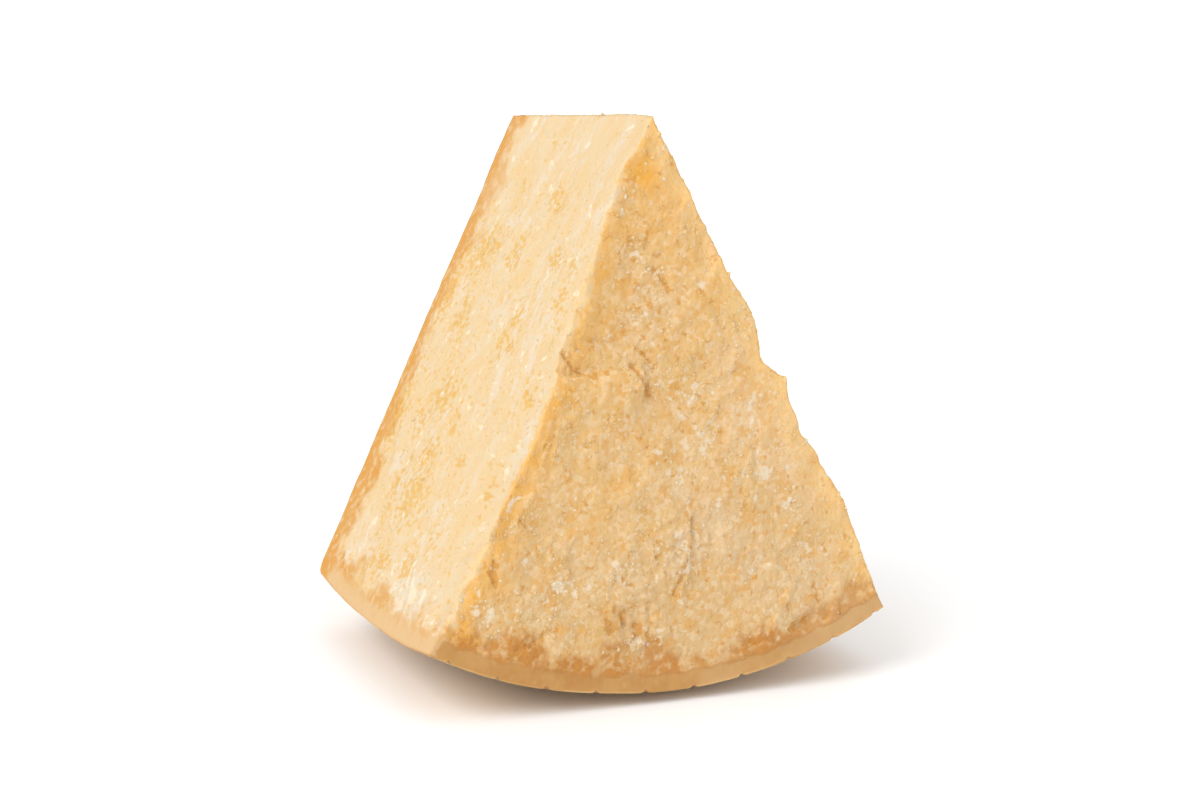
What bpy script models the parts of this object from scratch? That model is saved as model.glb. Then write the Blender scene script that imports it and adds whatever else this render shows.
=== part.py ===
"""A chunk of hard grating cheese, split from half a wheel and standing on its rind.

The wheel's axis is the chunk's top edge. The front is the rough break through the wheel's middle, the left
and right sides are its two radial breaks, the back is the wheel's flat rind, and below is its curved rind.
Lengths are metres and angles are radians, except where a name says degrees.
"""

import itertools
import math
from dataclasses import dataclass

import bmesh
import bpy
import numpy as np

NODE_NAME = "cheese_chunk"

# The wheel that the chunk was split from, and the share of it that the chunk is.
WHEEL_RADIUS = 0.220
CHUNK_DEPTH = 0.122
WEDGE_DEGREES = 53.5
SIDE_BULGE = 0.018
BULGE_POWER = 1.75
RIM_ROUNDING = 0.004
RIND_THICKNESS = 0.008

# How it stands: it leans back on its bulged rind, on a small flat spot under its centre of mass.
LEAN_DEGREES = 10.0
FLAT_SPOT_DEPTH = 0.0007

# The mesh: rows from the top edge down to the rind, and strips from front to back.
ROWS = 46
STRIPS = 23

# A face's relief fades out this far round the edge onto its neighbour.
FACE_REACH = 0.012

# The share of a break's relief that is left in the rind, which breaks cleanly, and at the even top edge.
RIND_CALM = 0.25
TIP_CALM = 0.30

# How the edges are rubbed and chipped, and how the sharp top edge is blunted.
EDGE_WEAR = 0.0022
EDGE_WEAR_REACH = 0.0085
CHIP_WIDTH = 0.013
TIP_BLUNTING = 0.0005
TIP_REACH = 0.0035

# Flakes: the share of each that is its steep edge, and how ragged that edge is.
FLAKE_EDGE = 0.12
FLAKE_RAGGEDNESS = 0.0022
FLAKE_TOOTH = 0.008

# The front's valley runs down from the tip to the shelf, left of the middle line.
VALLEY_DEPTH = 0.0028
VALLEY_WIDTH = 0.013
VALLEY_START_X = 0.005
VALLEY_SLANT = 0.30

# The front's shelf stands out below a crest across the left half, and ends in a short wall on its right.
SHELF_HEIGHT = 0.0032
SHELF_CREST_DOWN = 0.0965
SHELF_FOOT_DOWN = 0.150
SHELF_STEP = 0.0016
SHELF_WALL_X = -0.0045
SHELF_WALL_WIDTH = 0.0055

# The front's upright crack: the left of it stands out, and the right of it has flaked away.
CRACK_HEIGHT = 0.0011
CRACK_X = 0.0125
CRACK_BEND_DOWN = 0.166
CRACK_STEP = 0.001

# Flakes missing just above the rind of the front: depth, middle (x, down) and half sizes (x, down).
MISSING_FLAKES = ((0.0022, (-0.014, 0.195), (0.006, 0.008)), (0.0020, (0.060, 0.199), (0.009, 0.005)))

# The left side's ridge beside the front stands out near the top edge, and is rubbed down over its lower half.
RIDGE_SWELL = 0.0045
RIDGE_SWELL_RADIUS = 0.026
RIDGE_SWELL_LENGTH = 0.021
RIDGE_WEAR = 0.0055
RIDGE_WEAR_RADIUS = 0.145
RIDGE_WEAR_LENGTH = 0.042

# The bumps of the right side that show in the chunk's outline: height, radius and half length of each.
OUTLINE_BUMPS = (
    (0.0024, 0.084, 0.0100), (-0.0021, 0.105, 0.0042), (0.0035, 0.1173, 0.0052), (0.0048, 0.172, 0.0275),
)
OUTLINE_SLANT = 0.12
OUTLINE_WANDER = 0.016

# The slow waves of the two rinds, and how hollow the wheel's flat face is in its middle.
CURVED_RIND_WAVE = 0.0005
FLAT_RIND_WAVE = 0.0006
FLAT_RIND_HOLLOW = 0.0015

HALF_ANGLE = math.radians(WEDGE_DEGREES) / 2


def lattice_slopes(cells, seed):
    """A random slope, three numbers from -1 to 1, for each whole-numbered cell."""
    wide = cells.astype(np.uint64)
    mixed = wide[:, 0] * 73856093 ^ wide[:, 1] * 19349663 ^ wide[:, 2] * 83492791
    mixed = (mixed ^ np.uint64(seed * 2654435761)) & np.uint64(0xFFFFFFFF)
    slopes = []
    for factor in (2246822519, 3266489917, 668265263):
        mixed = (mixed ^ (mixed >> np.uint64(15))) * np.uint64(factor) & np.uint64(0xFFFFFFFF)
        slopes.append((mixed >> np.uint64(8)) / float(1 << 23) - 1.0)
    return np.stack(slopes, axis=1)


def noise(points, scale, seed):
    """Smooth noise from about -1 to 1 whose lumps are about as wide as scale, a length or one per axis."""
    scaled = points / np.asarray(scale) + 1000.0
    cells = np.floor(scaled).astype(np.int64)
    inside = scaled - cells
    fade = inside**3 * (inside * (inside * 6 - 15) + 10)
    total = np.zeros(len(points))
    for corner in itertools.product((0, 1), repeat=3):
        slopes = lattice_slopes(cells + corner, seed)
        weights = np.prod(np.where(corner, fade, 1 - fade), axis=1)
        total += weights * ((inside - corner) * slopes).sum(axis=1)
    return 1.6 * total


def ramp(value, start, end):
    """Rises smoothly from 0 where value is start to 1 where it is end."""
    share = np.clip((value - start) / (end - start), 0, 1)
    return share * share * (3 - 2 * share)


def bump(value, centre, width):
    """A rounded hump of height 1 at centre."""
    return np.exp(-(((value - centre) / width) ** 2))


def flat_points(first, second):
    """Points of a face's own plane, for the noise to read."""
    return np.stack([first, second, np.zeros_like(first)], axis=1)


@dataclass(frozen=True)
class BreakTexture:
    """The repeating relief of a break. Each layer has a height and a width along both of the face's ways."""

    seed: int
    swell_height: float
    swell_width: tuple
    lump_height: float
    lump_width: tuple
    crag_height: float
    crag_width: tuple
    flake_height: float
    flake_width: tuple
    flake_levels: float

    def layer(self, flat, width, index):
        """Noise of one layer's width."""
        return noise(flat, (*width, 1), self.seed + index)

    def flakes(self, flat):
        """Patches of overlapping flakes: each rises gently from 0 to 1, then drops steeply at its edge."""
        tooth = (FLAKE_TOOTH, FLAKE_TOOTH)
        ragged = flat_points(self.layer(flat, tooth, 4), self.layer(flat, tooth, 5))
        jagged = flat + FLAKE_RAGGEDNESS * ragged
        share = (self.flake_levels * self.layer(jagged, self.flake_width, 3)) % 1.0
        gentle = (share - FLAKE_EDGE) / (1 - FLAKE_EDGE)
        shingle = np.where(share < FLAKE_EDGE, 1 - share / FLAKE_EDGE, gentle)
        patch = self.layer(flat, (0.7 * self.flake_width[0], 0.7 * self.flake_width[1]), 6)
        return shingle * ramp(patch, -0.05, 0.40)

    def height(self, first, second, roughness=1.0):
        """The relief at places of the face. Roughness scales all but the slow swells."""
        flat = flat_points(first, second)
        fine = self.lump_height * self.layer(flat, self.lump_width, 1)
        fine += self.crag_height * (1 - 2.6 * np.abs(self.layer(flat, self.crag_width, 2)))
        fine += self.flake_height * self.flakes(flat)
        return self.swell_height * self.layer(flat, self.swell_width, 0) + roughness * fine


FRONT_TEXTURE = BreakTexture(
    seed=11,
    swell_height=0.0022, swell_width=(0.062, 0.062),
    lump_height=0.0011, lump_width=(0.027, 0.027),
    crag_height=0.0006, crag_width=(0.015, 0.018),
    flake_height=0.0009, flake_width=(0.030, 0.036), flake_levels=2.2,
)
LEFT_TEXTURE = BreakTexture(
    seed=21,
    swell_height=0.0016, swell_width=(0.075, 0.045),
    lump_height=0.0013, lump_width=(0.046, 0.013),
    crag_height=0.0005, crag_width=(0.024, 0.014),
    flake_height=0.0008, flake_width=(0.060, 0.022), flake_levels=2.0,
)
RIGHT_TEXTURE = BreakTexture(
    seed=31,
    swell_height=0.0018, swell_width=(0.055, 0.055),
    lump_height=0.0010, lump_width=(0.024, 0.024),
    crag_height=0.0006, crag_width=(0.017, 0.014),
    flake_height=0.0011, flake_width=(0.036, 0.030), flake_levels=2.2,
)


def rim_radius(depth):
    """The wheel's radius at a depth behind its middle: a bulged side with a rounded rim."""
    bulged = WHEEL_RADIUS - SIDE_BULGE * (depth / CHUNK_DEPTH) ** BULGE_POWER
    into_rounding = np.clip(depth - (CHUNK_DEPTH - RIM_ROUNDING), 0, RIM_ROUNDING)
    return bulged - RIM_ROUNDING + np.sqrt(RIM_ROUNDING**2 - into_rounding**2)


def firmness(under_rind):
    """The share of a break's relief that is left at a distance under the rind."""
    return RIND_CALM + (1 - RIND_CALM) * ramp(under_rind, 0.4 * RIND_THICKNESS, 1.6 * RIND_THICKNESS)


def side_firmness(radius, depth):
    """The share of a side's relief that is left: less near both rinds and near the top edge."""
    at_tip = TIP_CALM + (1 - TIP_CALM) * ramp(radius, 0.004, 0.024)
    return at_tip * firmness(np.minimum(CHUNK_DEPTH - depth, rim_radius(depth) - radius))


def front_valley(x, down):
    """How deep the valley above the shelf is."""
    along = ramp(down, 0.030, 0.060) * ramp(down, 0.105, 0.085)
    return VALLEY_DEPTH * bump(x + VALLEY_SLANT * down, VALLEY_START_X, VALLEY_WIDTH) * along


def front_shelf(x, down):
    """How far the shelf stands out. Its crest climbs a little towards the left and bends up at the ridge."""
    crest = SHELF_CREST_DOWN + 0.10 * np.maximum(-0.032 - x, 0) - 0.6 * np.maximum(-0.040 - x, 0)
    wall_foot = SHELF_WALL_X - SHELF_WALL_WIDTH - 1.3 * np.maximum(down - 0.103, 0)
    below_crest = ramp(down - crest, -SHELF_STEP, SHELF_STEP) * ramp(down, SHELF_FOOT_DOWN, 0.100)
    return SHELF_HEIGHT * below_crest * ramp(x, SHELF_WALL_X, wall_foot)


def front_crack(x, down):
    """The step at the upright crack, up on its left and down on its right."""
    from_crack = x - (CRACK_X - 0.18 * np.maximum(down - CRACK_BEND_DOWN, 0))
    raised = ramp(from_crack, -0.024, -0.002) * ramp(from_crack, CRACK_STEP, -CRACK_STEP)
    sunk = ramp(from_crack, -CRACK_STEP, CRACK_STEP) * ramp(from_crack, 0.020, 0.004)
    return CRACK_HEIGHT * (raised - sunk) * ramp(down, 0.148, 0.158) * ramp(down, 0.188, 0.170)


def front_relief(x, down):
    """The rough break through the wheel's middle, by places across it and down from the top edge."""
    height = FRONT_TEXTURE.height(x, down) - front_valley(x, down)
    height += front_shelf(x, down) + front_crack(x, down)
    for depth, middle, half in MISSING_FLAKES:
        height -= depth * bump(x, middle[0], half[0]) * bump(down, middle[1], half[1])
    return height * firmness(WHEEL_RADIUS - np.hypot(x, down))


def left_relief(radius, depth):
    """The cleaner radial break: long streaks down the face, smoother beside the front."""
    height = LEFT_TEXTURE.height(radius, depth, roughness=0.35 + 0.65 * ramp(depth, 0.018, 0.040))
    height += RIDGE_SWELL * bump(radius, RIDGE_SWELL_RADIUS, RIDGE_SWELL_LENGTH) * ramp(depth, 0.030, 0.0)
    height -= RIDGE_WEAR * bump(radius, RIDGE_WEAR_RADIUS, RIDGE_WEAR_LENGTH) * ramp(depth, 0.022, 0.0)
    return height * side_firmness(radius, depth)


def right_relief(radius, depth):
    """The rougher radial break, with the bumps that show in the chunk's outline."""
    wander = OUTLINE_WANDER * noise(flat_points(radius, depth), 0.045, RIGHT_TEXTURE.seed + 4)
    drift = radius + OUTLINE_SLANT * depth + wander * ramp(depth, 0.004, 0.040)
    outline = sum(height * bump(drift, place, half) for height, place, half in OUTLINE_BUMPS)
    height = RIGHT_TEXTURE.height(radius, depth) * ramp(depth, -0.004, 0.016)
    height += outline * (0.20 + 0.80 * ramp(depth, 0.055, 0.008))
    return height * side_firmness(radius, depth)


def rind_relief(around, depth):
    """The curved rind: nearly smooth, with the slow waves of the mould."""
    return CURVED_RIND_WAVE * noise(flat_points(around, depth), 0.050, 41)


def back_relief(x, down):
    """The wheel's flat face: a little hollow in the middle of the wheel, with slow waves."""
    return FLAT_RIND_WAVE * noise(flat_points(x, down), 0.060, 51) - FLAT_RIND_HOLLOW * ramp(down, 0.120, 0.0)


def edge_wear(first, second, points, seed):
    """How far an edge is rubbed and chipped away, from the distances to the two faces that meet there."""
    chips = np.clip(0.55 + 0.75 * noise(points, CHIP_WIDTH, seed), 0.1, 1.4)
    return EDGE_WEAR * chips * np.exp(-(((first + second) / EDGE_WEAR_REACH) ** 2))


def wheel_points(grid):
    """Carries grid points (across, depth share, down share) into the wheel and adds the relief.

    The wheel's axis runs along +Y from the front of the top edge, and -Z is down the middle of the wedge.
    Across runs from -down share on the left side to +down share on the right side. Each face's relief moves
    points along that face's normal, and fades out behind the face and round its edges.
    """
    across, depth_share, down_share = grid.T
    depth = CHUNK_DEPTH * depth_share
    rim = rim_radius(depth)
    radius = rim * down_share
    angle = HALF_ANGLE * np.divide(across, down_share, out=np.zeros_like(across), where=down_share > 0)
    x = radius * np.sin(angle)
    down = radius * np.cos(angle)
    smooth = np.stack([x, depth, -down], axis=1)

    side_out, side_up = math.cos(HALF_ANGLE), math.sin(HALF_ANGLE)
    outward = {
        "front": np.array([[0, -1, 0]]),
        "back": np.array([[0, 1, 0]]),
        "left": np.array([[-side_out, 0, side_up]]),
        "right": np.array([[side_out, 0, side_up]]),
        "rind": np.stack([np.sin(angle), np.zeros_like(angle), -np.cos(angle)], axis=1),
    }
    distance = {
        "front": depth,
        "back": CHUNK_DEPTH - depth,
        "left": radius * np.sin(HALF_ANGLE + angle),
        "right": radius * np.sin(HALF_ANGLE - angle),
        "rind": rim - radius,
    }
    relief = {
        "front": front_relief(x, down),
        "back": back_relief(x, down),
        "left": left_relief(radius, depth),
        "right": right_relief(radius, depth),
        "rind": rind_relief(WHEEL_RADIUS * angle, depth),
    }
    moved = smooth.copy()
    for face, normal in outward.items():
        moved += (relief[face] * bump(distance[face], 0, FACE_REACH))[:, None] * normal
    under_rind = np.minimum(distance["back"], distance["rind"])
    for side, seed in (("left", 61), ("right", 62)):
        inward = -(outward["front"] + outward[side]) / math.sqrt(2)
        wear = edge_wear(distance["front"], distance[side], smooth, seed) * firmness(under_rind)
        moved += wear[:, None] * inward
    moved[:, 2] -= TIP_BLUNTING * bump(radius, 0, TIP_REACH)
    return moved


def stand(points):
    """Leans the wedge back, sets it down with its lowest point at the origin and presses the flat spot.

    The leaning side touches where the slope of its bulge equals the lean.
    """
    lean = math.radians(LEAN_DEGREES)
    steepness = math.tan(lean) * CHUNK_DEPTH / (BULGE_POWER * SIDE_BULGE)
    touching_depth = CHUNK_DEPTH * steepness ** (1 / (BULGE_POWER - 1))
    touching = np.array([0.0, touching_depth, -float(rim_radius(touching_depth))])
    turn = np.array([[1, 0, 0], [0, math.cos(lean), math.sin(lean)], [0, -math.sin(lean), math.cos(lean)]])
    stood = (points - touching) @ turn.T
    stood[:, 2] = np.maximum(stood[:, 2] - FLAT_SPOT_DEPTH, 0.0)
    return stood


def grid_prism():
    """A three-sided prism cut into rows and strips, in grid space: (across, depth share, down share)."""
    mesh = bmesh.new()
    outline = ((0, 0), (-1, 1), (1, 1))
    front = [mesh.verts.new((across, 0, down)) for across, down in outline]
    back = [mesh.verts.new((across, 1, down)) for across, down in outline]
    mesh.faces.new(front)
    mesh.faces.new(back[::-1])
    for here, there in ((0, 1), (1, 2), (2, 0)):
        mesh.faces.new((front[there], front[here], back[here], back[there]))
    running_back = [edge for edge in mesh.edges if abs(edge.verts[0].co.y - edge.verts[1].co.y) > 0.5]
    bmesh.ops.subdivide_edges(mesh, edges=running_back, cuts=STRIPS - 1, use_grid_fill=True)
    running_across = [edge for edge in mesh.edges if abs(edge.verts[0].co.y - edge.verts[1].co.y) < 1e-6]
    bmesh.ops.subdivide_edges(mesh, edges=running_across, cuts=ROWS - 1, use_grid_fill=True)
    bmesh.ops.triangulate(mesh, faces=mesh.faces[:], quad_method="SHORT_EDGE")
    return mesh


def cheese_material():
    """Pale golden paste with a soft, slightly oily surface."""
    material = bpy.data.materials.new("cheese_paste")
    material.use_nodes = True
    shader = material.node_tree.nodes["Principled BSDF"]
    shader.inputs["Base Color"].default_value = (0.84, 0.58, 0.28, 1.0)
    shader.inputs["Roughness"].default_value = 0.6
    shader.inputs["Metallic"].default_value = 0.0
    return material


def build_chunk():
    """Makes the one solid of the chunk and links it to the scene."""
    mesh = grid_prism()
    grid = np.array([vertex.co for vertex in mesh.verts], float)
    for vertex, place in zip(mesh.verts, stand(wheel_points(grid))):
        vertex.co = place
    mesh.normal_update()
    bmesh.ops.recalc_face_normals(mesh, faces=mesh.faces[:])
    data = bpy.data.meshes.new(NODE_NAME)
    mesh.to_mesh(data)
    mesh.free()
    data.shade_smooth()
    data.set_sharp_from_angle(angle=math.radians(40))
    data.materials.append(cheese_material())
    chunk = bpy.data.objects.new(NODE_NAME, data)
    bpy.context.scene.collection.objects.link(chunk)
    return chunk


def main():
    """Clears the scene and builds the chunk."""
    for old in list(bpy.data.objects):
        bpy.data.objects.remove(old)
    build_chunk()


main()
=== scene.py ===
"""The looks of a chunk of parmesan, split from half a wheel and standing point up on its curved rind.

The chunk's surface is one closed lattice, worked out in the wheel's own terms: an angle across the wedge, a
radius from the wheel's axis and a depth behind the wheel's middle. The places on it carry what the finish
needs to know, such as how near the rind is. Crumbs and crystals are scattered over the breaks.
Lengths are metres and angles are radians, except where a name says degrees.
"""
import itertools
import logging
import math
from dataclasses import dataclass, field
from enum import Enum

import bpy
import numpy as np
from mathutils import Matrix, Vector


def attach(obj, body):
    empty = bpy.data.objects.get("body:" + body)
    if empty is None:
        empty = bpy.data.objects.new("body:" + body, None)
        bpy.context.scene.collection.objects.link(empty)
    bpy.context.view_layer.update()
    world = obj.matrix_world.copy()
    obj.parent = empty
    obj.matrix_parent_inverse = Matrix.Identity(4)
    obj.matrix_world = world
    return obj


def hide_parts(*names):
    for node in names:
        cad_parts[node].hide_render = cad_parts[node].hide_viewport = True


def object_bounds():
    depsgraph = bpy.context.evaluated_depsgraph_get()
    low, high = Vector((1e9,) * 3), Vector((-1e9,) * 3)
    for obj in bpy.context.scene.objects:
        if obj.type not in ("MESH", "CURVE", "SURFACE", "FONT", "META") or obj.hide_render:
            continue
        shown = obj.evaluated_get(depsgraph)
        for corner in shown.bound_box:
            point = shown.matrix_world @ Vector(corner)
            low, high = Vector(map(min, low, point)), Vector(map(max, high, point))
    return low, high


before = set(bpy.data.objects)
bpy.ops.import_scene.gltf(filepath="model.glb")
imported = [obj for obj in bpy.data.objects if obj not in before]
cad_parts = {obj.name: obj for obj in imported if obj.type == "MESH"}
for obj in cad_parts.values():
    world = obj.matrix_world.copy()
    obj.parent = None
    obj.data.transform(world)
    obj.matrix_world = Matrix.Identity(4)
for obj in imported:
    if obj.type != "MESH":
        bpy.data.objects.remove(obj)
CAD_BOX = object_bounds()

NODE_NAME = "cheese_chunk"
BODY_NAME = "root"

Array = np.ndarray
Colour = tuple[float, float, float]
Place = tuple[float, float, float]
Socket = bpy.types.NodeSocket

log = logging.getLogger("parmesan")


def lattice_slopes(cells: Array, seed: int) -> Array:
    """A random slope for each whole-numbered cell: its three numbers are mixed by multiplying and shifting.

    Args:
        cells: whole numbers, one row of three for each cell.
        seed: picks the pattern.

    Returns:
        Three numbers from -1 to 1 for each cell.
    """
    wide = cells.astype(np.uint64)
    mixed = wide[:, 0] * 73856093 ^ wide[:, 1] * 19349663 ^ wide[:, 2] * 83492791
    mixed = (mixed ^ np.uint64(seed * 2654435761)) & np.uint64(0xFFFFFFFF)
    slopes = []
    for factor in (2246822519, 3266489917, 668265263):
        mixed = (mixed ^ (mixed >> np.uint64(15))) * np.uint64(factor) & np.uint64(0xFFFFFFFF)
        slopes.append((mixed >> np.uint64(8)) / float(1 << 23) - 1.0)
    return np.stack(slopes, axis=1)


def noise(points: Array, scale: float | tuple, seed: int) -> Array:
    """Gradient noise: each cell corner's slope, times the way to that corner, blended by a smooth fade.

    Args:
        points: one row of three for each point.
        scale: the width of a lump, a length or one for each axis.
        seed: picks the pattern.

    Returns:
        A smooth value from about -1 to 1 for each point.
    """
    scaled = points / np.asarray(scale) + 1000.0
    cells = np.floor(scaled).astype(np.int64)
    inside = scaled - cells
    fade = inside**3 * (inside * (inside * 6 - 15) + 10)
    total = np.zeros(len(points))
    for corner in itertools.product((0, 1), repeat=3):
        slopes = lattice_slopes(cells + corner, seed)
        weights = np.prod(np.where(corner, fade, 1 - fade), axis=1)
        total += weights * ((inside - corner) * slopes).sum(axis=1)
    return 1.6 * total


def ramp(value: Array, start: float | Array, end: float | Array) -> Array:
    """Rises from 0 at start to 1 at end: the share of the way, squared, times three less two shares."""
    share = np.clip((value - start) / (end - start), 0, 1)
    return share * share * (3 - 2 * share)


def bump(value: Array, centre: float, width: float) -> Array:
    """A rounded hump of height 1 at centre: e to the power of minus the squared distance over the width."""
    return np.exp(-(((value - centre) / width) ** 2))


def flat_points(first: Array, second: Array) -> Array:
    """Points of a face's own plane, for the noise to read."""
    return np.stack([first, second, np.zeros_like(first)], axis=1)


def spots(first: Array, second: Array, places: tuple) -> Array:
    """The highest of several humps, each a product of two bumps, at places given as middle and half sizes.

    Args:
        first: places along the face's one way.
        second: places along its other way.
        places: ((first middle, second middle), (first half, second half)) of each hump.

    Returns:
        A value from 0 to 1 for each point.
    """
    highest = np.zeros_like(first)
    for middle, half in places:
        highest = np.maximum(highest, bump(first, middle[0], half[0]) * bump(second, middle[1], half[1]))
    return highest


def grooves(first: Array, second: Array, lines: tuple) -> Array:
    """The deepest of several grooves: each is its depth times a hump of the distance from a straight line.

    Args:
        first: places along the face's one way.
        second: places along its other way.
        lines: ((first start, second start), (first end, second end), half width, depth) of each groove.

    Returns:
        A depth for each point.
    """
    deepest = np.zeros_like(first)
    for start, end, half, depth in lines:
        run, fall = end[0] - start[0], end[1] - start[1]
        along = ((first - start[0]) * run + (second - start[1]) * fall) / (run**2 + fall**2)
        along = np.clip(along, 0, 1)
        away = np.hypot(first - start[0] - along * run, second - start[1] - along * fall)
        deepest = np.maximum(deepest, depth * bump(away, 0, half))
    return deepest


@dataclass(frozen=True)
class Cells:
    """The nearest of many scattered middles, for each point of a face, as the chips of a broken paste lie.

    Each square of the given width holds one middle, moved off the square's own middle by a random way.
    """

    distance: Array
    way: Array
    draw: Array

    @classmethod
    def around(cls, flat: Array, width: float, seed: int) -> "Cells":
        """Finds each point's nearest middle among its own square's and the eight around it.

        Args:
            flat: points of the face, with a third number of 0.
            width: the squares' width.
            seed: picks the pattern.

        Returns:
            The distance to the middle and the way from it, in widths, and the middle's three random numbers.
        """
        scaled = flat / width + 1000.0
        scaled[:, 2] = 0
        home = np.floor(scaled).astype(np.int64)
        best = np.full(len(flat), np.inf)
        way = np.zeros((len(flat), 2))
        draw = np.zeros((len(flat), 3))
        for step in itertools.product((-1, 0, 1), repeat=2):
            square = home + (*step, 0)
            middle = square[:, :2] + 0.5 + 0.42 * lattice_slopes(square, seed)[:, :2]
            offset = scaled[:, :2] - middle
            distance = np.hypot(offset[:, 0], offset[:, 1])
            nearer = distance < best
            best = np.where(nearer, distance, best)
            way = np.where(nearer[:, None], offset, way)
            draw = np.where(nearer[:, None], lattice_slopes(square, seed + 500), draw)
        return cls(best, way, draw)

    def facets(self) -> Array:
        """A tilted chip around each middle: the way from it times a random tilt, and a random step."""
        return (self.way * self.draw[:, :2]).sum(axis=1) + 0.5 * self.draw[:, 2]

    def pits(self, share: float, size: float) -> Array:
        """Round pits at some of the middles: a ramp from each pit's rim to a quarter of its radius.

        Args:
            share: the share of the middles that have a pit.
            size: the largest pit's radius, in widths.

        Returns:
            1 in a pit's middle and 0 from its rim on.
        """
        radius = size * (0.55 + 0.45 * self.draw[:, 1])
        has_pit = self.draw[:, 0] < 2 * share - 1
        return np.where(has_pit, ramp(self.distance, radius, 0.25 * radius), 0.0)


@dataclass(frozen=True)
class Wheel:
    """The wheel that the chunk was split from, the chunk's share of it, and how the chunk stands."""

    radius: float = 0.220
    depth: float = 0.122
    wedge_degrees: float = 53.5
    side_bulge: float = 0.018
    bulge_power: float = 1.75
    rim_rounding: float = 0.004
    rind: float = 0.008
    rind_calm: float = 0.25
    tip_calm: float = 0.30
    lean_degrees: float = 10.0
    flat_spot_depth: float = 0.0007

    @property
    def half_angle(self) -> float:
        """Half of the wedge's angle."""
        return math.radians(self.wedge_degrees) / 2

    def rim_radius(self, depth: Array | float) -> Array:
        """The curved rind's radius: the wheel's, less the bulge times a power of the share of the depth.

        The last rim_rounding of the depth is a quarter circle.

        Args:
            depth: how far behind the wheel's middle.

        Returns:
            The radius at each depth.
        """
        bulged = self.radius - self.side_bulge * (depth / self.depth) ** self.bulge_power
        into_rounding = np.clip(depth - (self.depth - self.rim_rounding), 0, self.rim_rounding)
        return bulged - self.rim_rounding + np.sqrt(self.rim_rounding**2 - into_rounding**2)

    def firmness(self, under_rind: Array) -> Array:
        """The share of a break's relief that is left at a distance under the rind, which breaks cleanly."""
        return self.rind_calm + (1 - self.rind_calm) * ramp(under_rind, 0.4 * self.rind, 1.6 * self.rind)

    def side_firmness(self, radius: Array, depth: Array) -> Array:
        """The share of a side's relief that is left: less near both rinds and near the top edge."""
        at_tip = self.tip_calm + (1 - self.tip_calm) * ramp(radius, 0.004, 0.024)
        return at_tip * self.firmness(np.minimum(self.depth - depth, self.rim_radius(depth) - radius))

    def stand(self, points: Array) -> Array:
        """Leans the wedge back, sets its lowest point down at the origin and presses the flat spot.

        The turn is about X. A leaning curve touches the floor where its own slope equals the lean.

        Args:
            points: places in the wheel's frame.

        Returns:
            The same places in the chunk's frame.
        """
        lean = math.radians(self.lean_degrees)
        cosine, sine = math.cos(lean), math.sin(lean)
        steepness = math.tan(lean) * self.depth / (self.bulge_power * self.side_bulge)
        touching_depth = self.depth * steepness ** (1 / (self.bulge_power - 1))
        touching = np.array([0.0, touching_depth, -float(self.rim_radius(touching_depth))])
        turn = np.array([[1, 0, 0], [0, cosine, sine], [0, -sine, cosine]])
        stood = (points - touching) @ turn.T
        stood[:, 2] = np.maximum(stood[:, 2] - self.flat_spot_depth, 0.0)
        return stood


class Face(Enum):
    """The chunk's five faces."""

    FRONT = "front"
    BACK = "back"
    LEFT = "left"
    RIGHT = "right"
    RIND = "rind"


@dataclass(frozen=True)
class Places:
    """Where the surface's points lie in the wheel, before any relief, and how far each face is from them."""

    wheel: Wheel
    angle: Array
    radius: Array
    depth: Array

    @classmethod
    def on_grid(cls, wheel: Wheel, across: Array, depth_share: Array, down_share: Array) -> "Places":
        """Carries the lattice into the wheel: the radius is the rim's times down_share.

        The angle is half of the wedge's times across over down_share.

        Args:
            wheel: the wheel.
            across: from -1 at the left break to 1 at the right one, on the lowest row.
            depth_share: from 0 at the front to 1 at the flat rind.
            down_share: from 0 at the wheel's axis to 1 at the curved rind.

        Returns:
            The places.
        """
        depth = wheel.depth * depth_share
        turn = np.divide(across, down_share, out=np.zeros_like(across), where=down_share > 0)
        return cls(wheel, wheel.half_angle * turn, wheel.rim_radius(depth) * down_share, depth)

    @property
    def x(self) -> Array:
        """How far right of the wedge's middle line."""
        return self.radius * np.sin(self.angle)

    @property
    def down(self) -> Array:
        """How far below the wheel's axis."""
        return self.radius * np.cos(self.angle)

    @property
    def points(self) -> Array:
        """The points in the wheel's frame: the axis runs along +Y and -Z is down the wedge's middle."""
        return np.stack([self.x, self.depth, -self.down], axis=1)

    @property
    def distances(self) -> dict[Face, Array]:
        """The distance from each face."""
        return {
            Face.FRONT: self.depth,
            Face.BACK: self.wheel.depth - self.depth,
            Face.LEFT: self.radius * np.sin(self.wheel.half_angle + self.angle),
            Face.RIGHT: self.radius * np.sin(self.wheel.half_angle - self.angle),
            Face.RIND: self.wheel.rim_radius(self.depth) - self.radius,
        }

    @property
    def under_rind(self) -> Array:
        """The distance to the nearer rind."""
        return np.minimum(self.distances[Face.BACK], self.distances[Face.RIND])


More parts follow.
